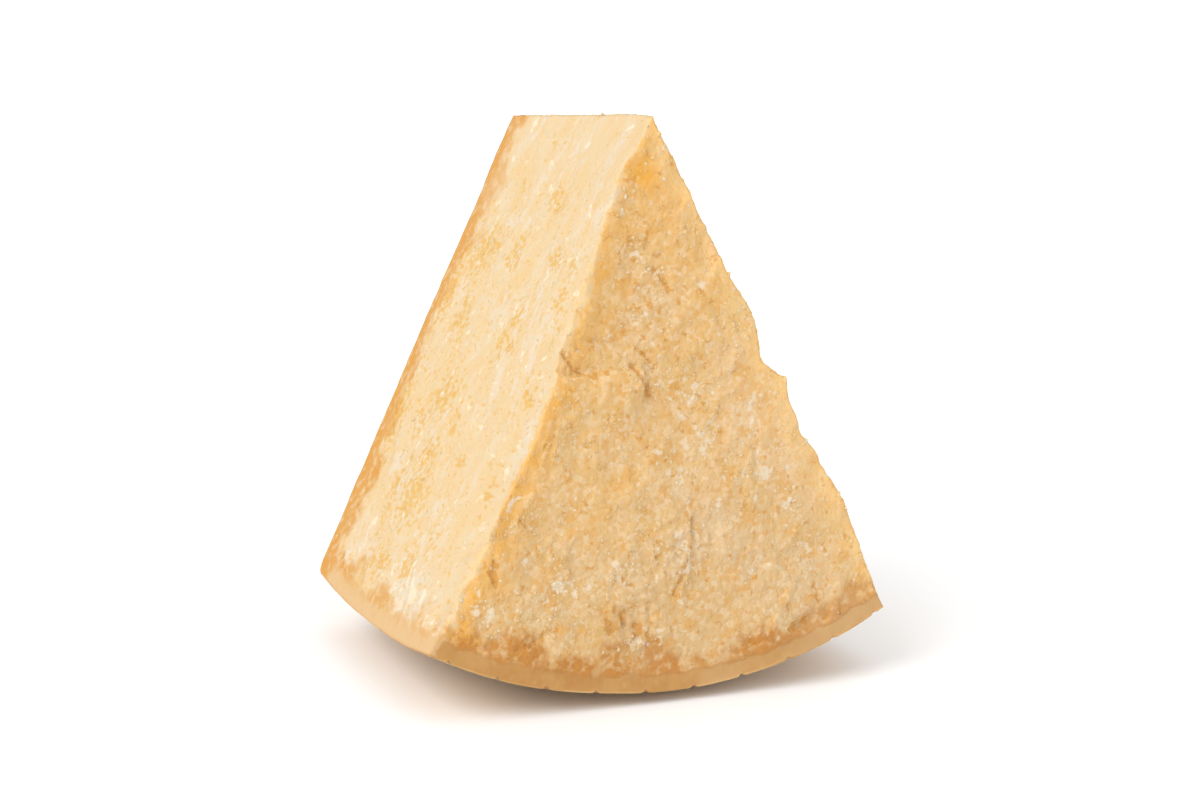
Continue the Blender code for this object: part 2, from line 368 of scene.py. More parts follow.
@dataclass(frozen=True)
class BreakTexture:
    """The repeating relief of a break: each layer has a height and a width along the face's two ways.

    The heights from chip_height on are shares of grain_height.
    """

    seed: int
    swell_height: float
    swell_width: tuple
    lump_height: float
    lump_width: tuple
    crag_height: float
    crag_width: tuple
    flake_height: float
    flake_width: tuple
    flake_levels: float
    grain_height: float
    crag_sharpness: float = 2.6
    flake_edge: float = 0.12
    flake_patch: float = 0.7
    raggedness: float = 0.0022
    tooth: float = 0.008
    chip_height: float = 0.45
    chip_width: float = 0.0080
    crumb_height: float = 0.80
    crumb_width: float = 0.0034
    curd_height: float = 0.40
    curd_width: float = 0.0048
    curd_sharpness: float = 2.4
    speck_height: float = 0.30
    speck_width: float = 0.0026
    pit_height: float = 1.7
    pit_spacing: float = 0.0095
    pit_share: float = 0.34
    pit_size: float = 0.22
    warp: float = 0.0012
    warp_width: float = 0.005
    patch_width: float = 0.030
    cluster_width: float = 0.022

    def layer(self, flat: Array, width: tuple, index: int) -> Array:
        """Noise of one layer's width."""
        return noise(flat, (*width, 1), self.seed + index)

    def flakes(self, flat: Array) -> Array:
        """Patches of overlapping flakes: the part after the point of a scaled noise is each flake's slope.

        Each flake rises gently from 0 to 1 and drops back within flake_edge. A wider noise picks the patches.

        Args:
            flat: points of the face's own plane.

        Returns:
            A height from 0 to 1 for each point.
        """
        tooth = (self.tooth, self.tooth)
        jagged = flat + self.raggedness * flat_points(self.layer(flat, tooth, 4), self.layer(flat, tooth, 5))
        share = (self.flake_levels * self.layer(jagged, self.flake_width, 3)) % 1.0
        gentle = (share - self.flake_edge) / (1 - self.flake_edge)
        shingle = np.where(share < self.flake_edge, 1 - share / self.flake_edge, gentle)
        width = (self.flake_patch * self.flake_width[0], self.flake_patch * self.flake_width[1])
        return shingle * ramp(self.layer(flat, width, 6), -0.05, 0.40)

    def height(self, first: Array, second: Array, roughness: Array | float = 1.0) -> Array:
        """The coarse relief: swells, and roughness times the sum of lumps, crags and flakes.

        Args:
            first: places along the face's one way.
            second: places along its other way.
            roughness: the share of everything but the swells.

        Returns:
            A height for each point.
        """
        flat = flat_points(first, second)
        fine = self.lump_height * self.layer(flat, self.lump_width, 1)
        fine += self.crag_height * (1 - self.crag_sharpness * np.abs(self.layer(flat, self.crag_width, 2)))
        fine += self.flake_height * self.flakes(flat)
        return self.swell_height * self.layer(flat, self.swell_width, 0) + roughness * fine

    def grain(self, first: Array, second: Array) -> Array:
        """The fine relief: tilted chips of two widths, ridged curds, specks and pits, at warped places.

        A curd's ridge is 1 less a multiple of the noise's size. Wider noise picks the rough patches, and
        where the pits are.

        Args:
            first: places along the face's one way.
            second: places along its other way.

        Returns:
            A height for each point, in units of grain_height.
        """
        flat = flat_points(first, second)
        warp = [noise(flat, self.warp_width, self.seed + index) for index in (91, 92)]
        warped = flat + self.warp * flat_points(*warp)
        height = self.chip_height * Cells.around(warped, self.chip_width, self.seed + 71).facets()
        height += self.crumb_height * Cells.around(warped, self.crumb_width, self.seed + 72).facets()
        curds = np.abs(noise(flat, self.curd_width, self.seed + 94))
        height += self.curd_height * (1 - self.curd_sharpness * curds)
        height += self.speck_height * noise(flat, self.speck_width, self.seed + 95)
        pits = Cells.around(warped, self.pit_spacing, self.seed + 73).pits(self.pit_share, self.pit_size)
        patches = 0.45 + 0.55 * ramp(noise(flat, self.patch_width, self.seed + 93), -0.35, 0.45)
        clusters = ramp(noise(flat, self.cluster_width, self.seed + 96), -0.25, 0.35)
        return height * patches - self.pit_height * pits * clusters


FRONT_TEXTURE = BreakTexture(
    seed=11,
    swell_height=0.0022, swell_width=(0.062, 0.062),
    lump_height=0.0011, lump_width=(0.027, 0.027),
    crag_height=0.0006, crag_width=(0.015, 0.018),
    flake_height=0.0009, flake_width=(0.030, 0.036), flake_levels=2.2,
    grain_height=0.00052,
)
LEFT_TEXTURE = BreakTexture(
    seed=21,
    swell_height=0.0016, swell_width=(0.075, 0.045),
    lump_height=0.0013, lump_width=(0.046, 0.013),
    crag_height=0.0005, crag_width=(0.024, 0.014),
    flake_height=0.0008, flake_width=(0.060, 0.022), flake_levels=2.0,
    grain_height=0.00036,
)
RIGHT_TEXTURE = BreakTexture(
    seed=31,
    swell_height=0.0018, swell_width=(0.055, 0.055),
    lump_height=0.0010, lump_width=(0.024, 0.024),
    crag_height=0.0006, crag_width=(0.017, 0.014),
    flake_height=0.0011, flake_width=(0.036, 0.030), flake_levels=2.2,
    grain_height=0.00052,
)


@dataclass(frozen=True)
class FrontBreak:
    """The rough break through the wheel's middle, with its valley, shelf, crack and missing flakes."""

    texture: BreakTexture = FRONT_TEXTURE
    valley_depth: float = 0.0028
    valley_width: float = 0.013
    valley_start_x: float = 0.005
    valley_slant: float = 0.30
    valley_top: tuple = (0.030, 0.060)
    valley_foot: tuple = (0.105, 0.085)
    shelf_height: float = 0.0032
    shelf_crest_down: float = 0.0965
    shelf_bends: tuple = ((-0.032, 0.10), (-0.040, -0.6))
    shelf_foot_down: tuple = (0.150, 0.100)
    shelf_step: float = 0.0012
    shelf_wall_x: float = -0.0052
    shelf_wall_width: float = 0.0040
    shelf_wall_bend: tuple = (0.103, 1.3)
    crack_height: float = 0.0011
    crack_x: float = 0.0125
    crack_bend: tuple = (0.166, 0.18)
    crack_step: float = 0.0007
    crack_left: tuple = (-0.024, -0.002)
    crack_right: tuple = (0.020, 0.004)
    crack_top: tuple = (0.148, 0.158)
    crack_foot: tuple = (0.188, 0.170)
    missing_flakes: tuple = (
        (0.0022, (-0.014, 0.195), (0.006, 0.008)), (0.0020, (0.060, 0.199), (0.009, 0.005)),
    )
    # Where painted shade darkens the hollow above the shelf, as middle and half sizes.
    painted_shade_place: tuple = ((-0.0055, 0.074), (0.012, 0.018))
    smooth_places: tuple = (
        ((0.020, 0.077), (0.017, 0.015)), ((0.070, 0.152), (0.013, 0.030)),
        ((0.003, 0.118), (0.006, 0.014)), ((-0.026, 0.107), (0.013, 0.006)),
        ((-0.036, 0.158), (0.020, 0.008)), ((0.036, 0.097), (0.008, 0.012)),
    )
    rough_places: tuple = (
        ((0.008, 0.170), (0.012, 0.020)), ((-0.008, 0.196), (0.016, 0.012)),
        ((0.062, 0.196), (0.014, 0.008)), ((-0.008, 0.092), (0.016, 0.007)),
        ((-0.033, 0.088), (0.010, 0.005)),
    )
    lines: tuple = (
        ((-0.0117, 0.0954), (-0.0084, 0.1000), 0.0012, 0.0015),
        ((-0.0084, 0.1000), (-0.0045, 0.1066), 0.0011, 0.0014),
        ((-0.0430, 0.0870), (-0.0375, 0.0945), 0.0012, 0.0014),
        ((-0.0375, 0.0945), (-0.0290, 0.0975), 0.0010, 0.0012),
        ((-0.0290, 0.0975), (-0.0170, 0.0960), 0.0009, 0.0007),
        ((-0.0090, 0.0890), (-0.0020, 0.0960), 0.0014, 0.0009),
        ((0.0134, 0.1545), (0.0110, 0.1700), 0.0010, 0.0013),
        ((0.0110, 0.1700), (0.0050, 0.1820), 0.0010, 0.0011),
        ((-0.0260, 0.1880), (-0.0245, 0.1940), 0.0018, 0.0014),
        ((-0.0180, 0.1870), (-0.0172, 0.1970), 0.0012, 0.0013),
        ((-0.0725, 0.1630), (-0.0708, 0.1730), 0.0014, 0.0014),
        ((-0.0620, 0.1975), (-0.0460, 0.1915), 0.0012, 0.0010),
        ((-0.0010, 0.0570), (0.0050, 0.0670), 0.0012, 0.0009),
        ((0.0170, 0.0640), (0.0300, 0.0900), 0.0012, 0.0006),
        ((0.0560, 0.2010), (0.0640, 0.1980), 0.0016, 0.0013),
        ((0.0660, 0.1860), (0.0690, 0.1910), 0.0014, 0.0010),
        ((-0.0120, 0.1940), (-0.0060, 0.1990), 0.0020, 0.0013),
        ((0.0380, 0.2040), (0.0400, 0.2060), 0.0018, 0.0010),
    )

    def ragged(self, x: Array, down: Array, far: float, width: float, index: int) -> Array:
        """Noise of the given width, up to far high, that makes an edge ragged."""
        return far * noise(flat_points(x, down), width, self.texture.seed + index)

    def grain(self, places: Places) -> Array:
        """The fine relief: the texture's, calmer and stronger in named places, less grooves that noise bends.

        Args:
            places: the surface's points.

        Returns:
            A height for each point.
        """
        x, down = places.x, places.down
        share = 1 - 0.80 * spots(x, down, self.smooth_places) + 0.8 * spots(x, down, self.rough_places)
        height = self.texture.grain_height * share * self.texture.grain(x, down)
        bent_x = x + self.ragged(x, down, 0.0012, 0.0050, 82)
        bent_down = down + self.ragged(x, down, 0.0012, 0.0050, 83)
        return height - grooves(bent_x, bent_down, self.lines)

    def shaded(self, places: Places) -> Array:
        """How much painted shade darkens the paste's colour in the hollow above the shelf, from 0 to 1."""
        return spots(places.x, places.down, (self.painted_shade_place,))

    def valley(self, x: Array, down: Array) -> Array:
        """How deep the valley above the shelf is: a hump across it, times a ramp at its top and its foot.

        Args:
            x: how far right of the wedge's middle line.
            down: how far below the wheel's axis.

        Returns:
            A depth for each point.
        """
        along = ramp(down, *self.valley_top) * ramp(down, *self.valley_foot)
        across = bump(x + self.valley_slant * down, self.valley_start_x, self.valley_width)
        return self.valley_depth * across * along

    def shelf(self, x: Array, down: Array) -> Array:
        """How far the shelf stands out: a steep ramp over its crest and its wall, and a slow one to its foot.

        The crest sinks a little towards the left and bends up at the ridge.

        Args:
            x: how far right of the wedge's middle line.
            down: how far below the wheel's axis.

        Returns:
            A height for each point.
        """
        ragged = self.ragged(x, down, 0.0012, 0.008, 80)
        crest = self.shelf_crest_down + ragged
        for start, slope in self.shelf_bends:
            crest = crest + slope * np.maximum(start - x, 0)
        bend_down, bend = self.shelf_wall_bend
        wall_foot = self.shelf_wall_x - self.shelf_wall_width - bend * np.maximum(down - bend_down, 0)
        below_crest = ramp(down - crest, -self.shelf_step, self.shelf_step)
        above_foot = ramp(down, *self.shelf_foot_down)
        behind_wall = ramp(x, self.shelf_wall_x + ragged, wall_foot + ragged)
        return self.shelf_height * below_crest * above_foot * behind_wall

    def crack(self, x: Array, down: Array) -> Array:
        """The step at the upright crack, up on its left and down on its right, faded at both ends.

        Args:
            x: how far right of the wedge's middle line.
            down: how far below the wheel's axis.

        Returns:
            A height for each point, below 0 where the paste is sunk.
        """
        bend_down, bend = self.crack_bend
        course = self.crack_x - bend * np.maximum(down - bend_down, 0)
        from_crack = x - course + self.ragged(x, down, 0.0008, 0.006, 81)
        raised = ramp(from_crack, *self.crack_left) * ramp(from_crack, self.crack_step, -self.crack_step)
        sunk = ramp(from_crack, -self.crack_step, self.crack_step) * ramp(from_crack, *self.crack_right)
        ends = ramp(down, *self.crack_top) * ramp(down, *self.crack_foot)
        return self.crack_height * (raised - sunk) * ends

    def relief(self, places: Places) -> Array:
        """The coarse relief: the texture less the valley, with the shelf, crack and missing flakes.

        Args:
            places: the surface's points.

        Returns:
            A height for each point.
        """
        x, down = places.x, places.down
        height = self.texture.height(x, down) - self.valley(x, down)
        height += self.shelf(x, down) + self.crack(x, down)
        for depth, middle, half in self.missing_flakes:
            height -= depth * spots(x, down, ((middle, half),))
        return height * places.wheel.firmness(places.wheel.radius - places.radius)


@dataclass(frozen=True)
class LeftBreak:
    """The cleaner radial break, with long streaks down it and a rubbed ridge beside the front."""

    texture: BreakTexture = LEFT_TEXTURE
    ridge_swell: float = 0.0045
    ridge_swell_radius: float = 0.026
    ridge_swell_length: float = 0.021
    ridge_wear: float = 0.0055
    ridge_wear_radius: float = 0.145
    ridge_wear_length: float = 0.042
    golden_depth: float = 0.0009
    golden_places: tuple = (
        ((0.191, 0.070), (0.007, 0.009)), ((0.190, 0.047), (0.005, 0.006)),
        ((0.164, 0.066), (0.012, 0.013)), ((0.146, 0.066), (0.009, 0.007)),
        ((0.146, 0.039), (0.004, 0.004)), ((0.122, 0.074), (0.011, 0.014)),
        ((0.116, 0.011), (0.006, 0.004)), ((0.078, 0.012), (0.008, 0.005)),
        ((0.064, 0.013), (0.006, 0.004)), ((0.091, 0.089), (0.006, 0.008)),
        ((0.060, 0.094), (0.012, 0.013)), ((0.062, 0.030), (0.006, 0.007)),
        ((0.086, 0.042), (0.006, 0.006)), ((0.080, 0.110), (0.018, 0.006)),
        ((0.130, 0.108), (0.022, 0.007)), ((0.155, 0.010), (0.006, 0.002)),
        ((0.098, 0.037), (0.004, 0.004)), ((0.205, 0.085), (0.006, 0.010)),
    )
    lines: tuple = (
        ((0.0890, 0.0060), (0.1100, 0.0160), 0.0014, 0.0008),
        ((0.1100, 0.0160), (0.1470, 0.0160), 0.0016, 0.0006),
        ((0.0780, 0.0300), (0.1180, 0.0480), 0.0018, 0.0007),
        ((0.0560, 0.0190), (0.0720, 0.0215), 0.0012, 0.0006),
    )

    def golden(self, places: Places) -> Array:
        """How golden and pitted the paste is: in the named places and in patches, but not at the top.

        Args:
            places: the surface's points.

        Returns:
            A value up to 1 for each point, below 0 near the top.
        """
        radius, depth = places.radius, places.depth
        patches = noise(flat_points(radius, depth), (0.024, 0.013, 1), self.texture.seed + 84)
        patches = 0.75 * ramp(patches, 0.12, 0.55) * ramp(depth, 0.022, 0.045)
        golden = np.maximum(spots(radius, depth, self.golden_places), patches)
        return golden - 0.4 * ramp(radius, 0.032, 0.014)

    def grain(self, places: Places) -> Array:
        """The fine relief: the texture's, calm beside the front and the top, less speckled pits and grooves.

        Args:
            places: the surface's points.

        Returns:
            A height for each point.
        """
        radius, depth = places.radius, places.depth
        flat = flat_points(radius, depth)
        calm = 0.30 + 0.70 * ramp(depth, 0.014, 0.036) * ramp(radius, 0.010, 0.040)
        height = self.texture.grain_height * calm * self.texture.grain(0.75 * radius, depth)
        speckle = ramp(noise(flat, (0.0042, 0.0030, 1), self.texture.seed + 85), 0.00, 0.45)
        bent = depth + 0.0020 * noise(flat, 0.009, self.texture.seed + 86)
        golden = np.maximum(self.golden(places), 0)
        return height - self.golden_depth * speckle * golden - grooves(radius, bent, self.lines)

    def relief(self, places: Places) -> Array:
        """The coarse relief: the texture, smoother beside the front, with the ridge's swell and wear.

        Args:
            places: the surface's points.

        Returns:
            A height for each point.
        """
        radius, depth = places.radius, places.depth
        height = self.texture.height(radius, depth, roughness=0.35 + 0.65 * ramp(depth, 0.018, 0.040))
        swell = self.ridge_swell * bump(radius, self.ridge_swell_radius, self.ridge_swell_length)
        wear = self.ridge_wear * bump(radius, self.ridge_wear_radius, self.ridge_wear_length)
        height += swell * ramp(depth, 0.030, 0.0) - wear * ramp(depth, 0.022, 0.0)
        return height * places.wheel.side_firmness(radius, depth)


@dataclass(frozen=True)
class RightBreak:
    """The rougher radial break. Each bump of its outline has a height, a radius and a half length."""

    texture: BreakTexture = RIGHT_TEXTURE
    bumps: tuple = (
        (0.0024, 0.084, 0.0100), (-0.0021, 0.105, 0.0042), (0.0035, 0.1173, 0.0052), (0.0048, 0.172, 0.0275),
    )
    slant: float = 0.12
    wander: float = 0.016
    wander_width: float = 0.045

    def relief(self, places: Places) -> Array:
        """The coarse relief: the texture, faded at the front, and bumps that slant and wander backwards.

        Args:
            places: the surface's points.

        Returns:
            A height for each point.
        """
        radius, depth = places.radius, places.depth
        wander = self.wander * noise(flat_points(radius, depth), self.wander_width, self.texture.seed + 4)
        drift = radius + self.slant * depth + wander * ramp(depth, 0.004, 0.040)
        outline = sum(height * bump(drift, place, half) for height, place, half in self.bumps)
        height = self.texture.height(radius, depth) * ramp(depth, -0.004, 0.016)
        height += outline * (0.20 + 0.80 * ramp(depth, 0.055, 0.008))
        return height * places.wheel.side_firmness(radius, depth)

    def grain(self, places: Places) -> Array:
        """The fine relief: the texture's alone."""
        return self.texture.grain_height * self.texture.grain(places.radius, places.depth)


@dataclass(frozen=True)
class CurvedRind:
    """The wheel's side: smooth, with slow waves and a plain staggered pattern of small dimples."""

    wave_height: float = 0.0005
    wave_width: float = 0.050
    dimple_depth: float = 0.0010
    dimple_half: float = 0.0009
    dimple_pitch: float = 0.0213
    row_pitch: float = 0.0107
    first_dimple: float = -0.0088

    def relief(self, places: Places) -> Array:
        """Slow waves of noise."""
        around = places.wheel.radius * places.angle
        return self.wave_height * noise(flat_points(around, places.depth), self.wave_width, 41)

    def dimples(self, places: Places) -> Array:
        """How deep the dimples are: a hump at each place of a lattice with odd rows half a pitch along.

        Args:
            places: the surface's points.

        Returns:
            A depth for each point.
        """
        row = np.round(places.depth / self.row_pitch)
        around = places.wheel.radius * places.angle - self.first_dimple
        column = around / self.dimple_pitch + 0.5 * (row % 2)
        from_column = (column - np.round(column)) * self.dimple_pitch
        from_row = places.depth - row * self.row_pitch
        hump = bump(from_column, 0, self.dimple_half) * bump(from_row, 0, 1.3 * self.dimple_half)
        return self.dimple_depth * hump


@dataclass(frozen=True)
class FlatRind:
    """The wheel's flat face: a little hollow in the wheel's middle, with slow waves."""

    wave_height: float = 0.0006
    wave_width: float = 0.060
    hollow: float = 0.0015
    hollow_radius: float = 0.120

    def relief(self, places: Places) -> Array:
        """Slow waves of noise, less a ramp towards the wheel's axis."""
        waves = self.wave_height * noise(flat_points(places.x, places.down), self.wave_width, 51)
        return waves - self.hollow * ramp(places.down, self.hollow_radius, 0.0)


@dataclass(frozen=True)
class Lattice:
    """A three-sided prism's surface, cut into rows from its top edge down and strips from front to back."""

    rows: int
    strips: int

    def key(self, row: Array, column: Array, strip: Array) -> Array:
        """One whole number for each place of the full grid."""
        return (row * (self.rows + 1) + column) * (self.strips + 1) + strip

    def quads(self, corner: Array, first_step: Array, second_step: Array, swap: Array) -> Array:
        """Two triangles for each quad, split along the diagonal that swap picks.

        Args:
            corner: (row, column, strip) of each quad's first corner.
            first_step: the way to its second corner.
            second_step: the way to its fourth corner.
            swap: whether the quad is split the other way.

        Returns:
            The triangles' keys.
        """
        steps = (0, first_step, first_step + second_step, second_step)
        a, b, c, d = (self.key(*(corner + step).T) for step in steps)
        first = np.where(swap[:, None], np.stack([a, b, d], 1), np.stack([a, b, c], 1))
        second = np.where(swap[:, None], np.stack([b, c, d], 1), np.stack([a, c, d], 1))
        return np.concatenate([first, second])

    def cap(self, strip: int) -> Array:
        """One end of the prism: row i has i upright triangles and i - 1 hanging ones.

        Args:
            strip: the end's number.

        Returns:
            The triangles' keys.
        """
        kinds = []
        for first_row, steps in ((0, ((0, 0), (1, 0), (1, 1))), (-1, ((0, 0), (1, 1), (0, 1)))):
            row, column = np.tril_indices(self.rows, first_row)
            kinds.append(np.stack([self.key(row + down, column + right, strip) for down, right in steps], 1))
        return np.concatenate(kinds)

    def side(self, right: bool) -> Array:
        """One of the prism's long sides, where the column is 0 or the same as the row.

        Args:
            right: whether it is the right side.

        Returns:
            The triangles' keys.
        """
        row, strip = (part.ravel() for part in np.mgrid[0 : self.rows, 0 : self.strips])
        corner = np.stack([row, row if right else 0 * row, strip], 1)
        return self.quads(corner, np.array([1, int(right), 0]), np.array([0, 0, 1]), (row + strip) % 2 == 1)

    def base(self) -> Array:
        """The prism's underside, where the row is the last."""
        column, strip = (part.ravel() for part in np.mgrid[0 : self.rows, 0 : self.strips])
        corner = np.stack([self.rows + 0 * column, column, strip], 1)
        return self.quads(corner, np.array([0, 1, 0]), np.array([0, 0, 1]), (column + strip) % 2 == 1)

    def surface(self) -> tuple[Array, Array]:
        """Joins the five faces at their shared places.

        Returns:
            The (across, depth share, down share) of each vertex, and the triangles.
        """
        ends = [self.cap(0), self.cap(self.strips)[:, ::-1]]
        sides = [self.side(False)[:, ::-1], self.side(True), self.base()]
        keys, triangles = np.unique(np.concatenate(ends + sides), return_inverse=True)
        strip = keys % (self.strips + 1)
        column = keys // (self.strips + 1) % (self.rows + 1)
        row = keys // (self.strips + 1) // (self.rows + 1)
        places = np.stack([(2 * column - row) / self.rows, strip / self.strips, row / self.rows], axis=1)
        return places, triangles.reshape(-1, 3)


def new_mesh(
    name: str, points: Array, triangles: Array, finish: bpy.types.Material
) -> tuple[bpy.types.Object, Array]:
    """Puts arrays into a smooth-shaded mesh object at the origin, with its faces pointing outwards.

    The volume is a sixth of the sum of each triangle's first corner times the cross product of the others.

    Args:
        name: the piece's name.
        points: one row of three for each vertex.
        triangles: the numbers of each triangle's vertices.
        finish: the piece's material.

    Returns:
        The object, and the triangles in the order of corners that points outwards.
    """
    corners = points[triangles]
    volume = np.einsum("ij,ij->", corners[:, 0], np.cross(corners[:, 1], corners[:, 2])) / 6
    outward = triangles if volume > 0 else triangles[:, ::-1]
    mesh = bpy.data.meshes.new(name)
    mesh.from_pydata(points, [], outward)
    mesh.shade_smooth()
    mesh.materials.append(finish)
    piece = bpy.data.objects.new(name, mesh)
    bpy.context.scene.collection.objects.link(piece)
    return piece, outward


class Mask(Enum):
    """What the chunk's finish knows about each place, from 0 to 1. Only grains have a tone."""

    UNDER = "under_rind"
    HOLLOW_SHADE = "hollow"
    PROUD = "proud"
    CREAM = "cream"
    GOLDEN = "golden"
    FLECKS = "flecks"
    PAINTED_GLOW = "painted_glow"
    STRAW = "straw"
    BACK = "beside_back"
    PAINTED_LIGHT = "painted_light"
    SHADED = "shaded"
    TONE = "tone"


UNDER_SCALE = 0.090


def write_mask(piece: bpy.types.Object, mask: Mask, values: Array) -> None:
    """Stores one number for each vertex, which the piece's finish reads by name."""
    attribute = piece.data.attributes.new(mask.value, "FLOAT", "POINT")
    attribute.data.foreach_set("value", values.astype(np.float32))


@dataclass
class CheeseBody:
    """The chunk itself: one closed surface with the relief of its five faces."""

    wheel: Wheel = field(default_factory=Wheel)
    lattice: Lattice = Lattice(rows=190, strips=104)
    front: FrontBreak = field(default_factory=FrontBreak)
    left: LeftBreak = field(default_factory=LeftBreak)
    right: RightBreak = field(default_factory=RightBreak)
    curved_rind: CurvedRind = field(default_factory=CurvedRind)
    flat_rind: FlatRind = field(default_factory=FlatRind)
    face_reach: float = 0.012
    grain_reach: float = 0.0030
    edge_wear: float = 0.0022
    edge_wear_reach: float = 0.0085
    chip_width: float = 0.013
    left_edge_seed: int = 61
    right_edge_seed: int = 62
    tip_blunting: float = 0.0005
    tip_reach: float = 0.0035
    mask_reach: float = 0.0012
    ridge_slope: float = 1.7
    narrowest_rub: float = 0.0004
    ridge_downs: tuple = (0.020, 0.050, 0.068, 0.088, 0.100, 0.125, 0.150, 0.175, 0.200, 0.220)
    ridge_bands: tuple = (0.0006, 0.0006, 0.0028, 0.0020, 0.0006, -0.0024, -0.0020, 0.0032, 0.0044, 0.0034)
    powder_place: tuple = ((0.2005, 0.034), (0.011, 0.020))
    fleck_places: tuple = (
        ((-0.0080, 0.053), (0.003, 0.004)), ((0.0005, 0.060), (0.003, 0.003)),
        ((-0.0080, 0.076), (0.004, 0.003)), ((0.0000, 0.102), (0.007, 0.005)),
        ((0.0170, 0.108), (0.006, 0.006)), ((0.0190, 0.123), (0.007, 0.010)),
        ((0.0100, 0.138), (0.006, 0.012)), ((0.0180, 0.065), (0.004, 0.004)),
        ((-0.0440, 0.176), (0.013, 0.004)), ((-0.0200, 0.172), (0.010, 0.005)),
        ((0.0080, 0.168), (0.011, 0.008)), ((-0.0120, 0.200), (0.012, 0.004)),
        ((-0.0780, 0.182), (0.008, 0.005)), ((0.0400, 0.110), (0.005, 0.004)),
        ((0.0430, 0.139), (0.008, 0.005)), ((0.0560, 0.152), (0.005, 0.005)),
    )

    def outward(self, places: Places) -> dict[Face, Array]:
        """Each face's own direction: fixed for the flat ones, and away from the axis for the curved rind.

        Args:
            places: the surface's points.

        Returns:
            One direction for each flat face, and one for each point of the curved rind.
        """
        side_out, side_up = math.cos(self.wheel.half_angle), math.sin(self.wheel.half_angle)
        return {
            Face.FRONT: np.array([[0, -1, 0]]),
            Face.BACK: np.array([[0, 1, 0]]),
            Face.LEFT: np.array([[-side_out, 0, side_up]]),
            Face.RIGHT: np.array([[side_out, 0, side_up]]),
            Face.RIND: np.stack([np.sin(places.angle), 0 * places.angle, -np.cos(places.angle)], axis=1),
        }

    def wear(self, first: Array, second: Array, points: Array, seed: int) -> Array:
        """How far an edge is rubbed and chipped away: a hump over the sum of two distances, times noise.

        Args:
            first: the distance to one of the faces that meet at the edge.
            second: the distance to the other.
            points: the points themselves.
            seed: picks the chips' pattern.

        Returns:
            A depth for each point.
        """
        chips = np.clip(0.55 + 0.75 * noise(points, self.chip_width, seed), 0.1, 1.4)
        return self.edge_wear * chips * np.exp(-(((first + second) / self.edge_wear_reach) ** 2))

    def grains(self, places: Places) -> dict[Face, Array]:
        """The fine relief of each break, calm in the rind, and of the curved rind.

        Args:
            places: the surface's points.

        Returns:
            A height for each point, for each face but the flat rind.
        """
        firm = self.wheel.firmness(places.under_rind)
        return {
            Face.FRONT: self.front.grain(places) * firm,
            Face.LEFT: self.left.grain(places) * firm,
            Face.RIGHT: self.right.grain(places) * firm,
            Face.RIND: -self.curved_rind.dimples(places),
        }

    def shape(self, places: Places, grains: dict[Face, Array]) -> Array:
        """Moves each point along every face's direction by its relief, fading out round the face's edges.

        Coarse relief fades over face_reach and grain over grain_reach, both as a rounded hump. The two front
        edges are then worn inwards, and the sharp top edge is blunted.

        Args:
            places: the surface's points.
            grains: the fine relief of the faces.

        Returns:
            The moved points, in the wheel's frame.
        """
        outward = self.outward(places)
        distance = places.distances
        firm = self.wheel.firmness(places.under_rind)
        relief = {
            Face.FRONT: self.front.relief(places),
            Face.BACK: self.flat_rind.relief(places),
            Face.LEFT: self.left.relief(places),
            Face.RIGHT: self.right.relief(places),
            Face.RIND: self.curved_rind.relief(places),
        }
        moved = places.points
        for face, direction in outward.items():
            move = relief[face] * bump(distance[face], 0, self.face_reach)
            move += grains.get(face, 0.0) * bump(distance[face], 0, self.grain_reach)
            moved = moved + move[:, None] * direction
        for side, seed in ((Face.LEFT, self.left_edge_seed), (Face.RIGHT, self.right_edge_seed)):
            inward = -(outward[Face.FRONT] + outward[side]) / math.sqrt(2)
            wear = self.wear(distance[Face.FRONT], distance[side], places.points, seed)
            moved = moved + (wear * firm)[:, None] * inward
        facing = self.ridge_slope * outward[Face.LEFT] + outward[Face.FRONT]
        facing = facing / math.hypot(self.ridge_slope, 1)
        moved = moved - (self.rubbed(places) * firm)[:, None] * facing
        moved[:, 2] -= self.tip_blunting * bump(places.radius, 0, self.tip_reach)
        return moved

    def rubbed(self, places: Places) -> Array:
        """How deep the ridge between front and left is rubbed flat, beyond the wear that every edge has.

        The flat's plane meets the front at the pale band's width, and the left at ridge_slope times that.

        Args:
            places: the surface's points.

        Returns:
            A depth for each point.
        """
        from_front, from_left = places.distances[Face.FRONT], places.distances[Face.LEFT]
        band = np.maximum(self.pale_band(places), self.narrowest_rub)
        outside = 1 - from_left / band - from_front / (self.ridge_slope * band)
        height = band * self.ridge_slope / math.hypot(self.ridge_slope, 1)
        rounded = 0.5 * (outside + np.sqrt(outside**2 + 0.02))
        cut = height * rounded * ramp(outside, -0.5, 0.2)
        return np.maximum(cut - self.wear(from_front, from_left, places.points, self.left_edge_seed), 0)

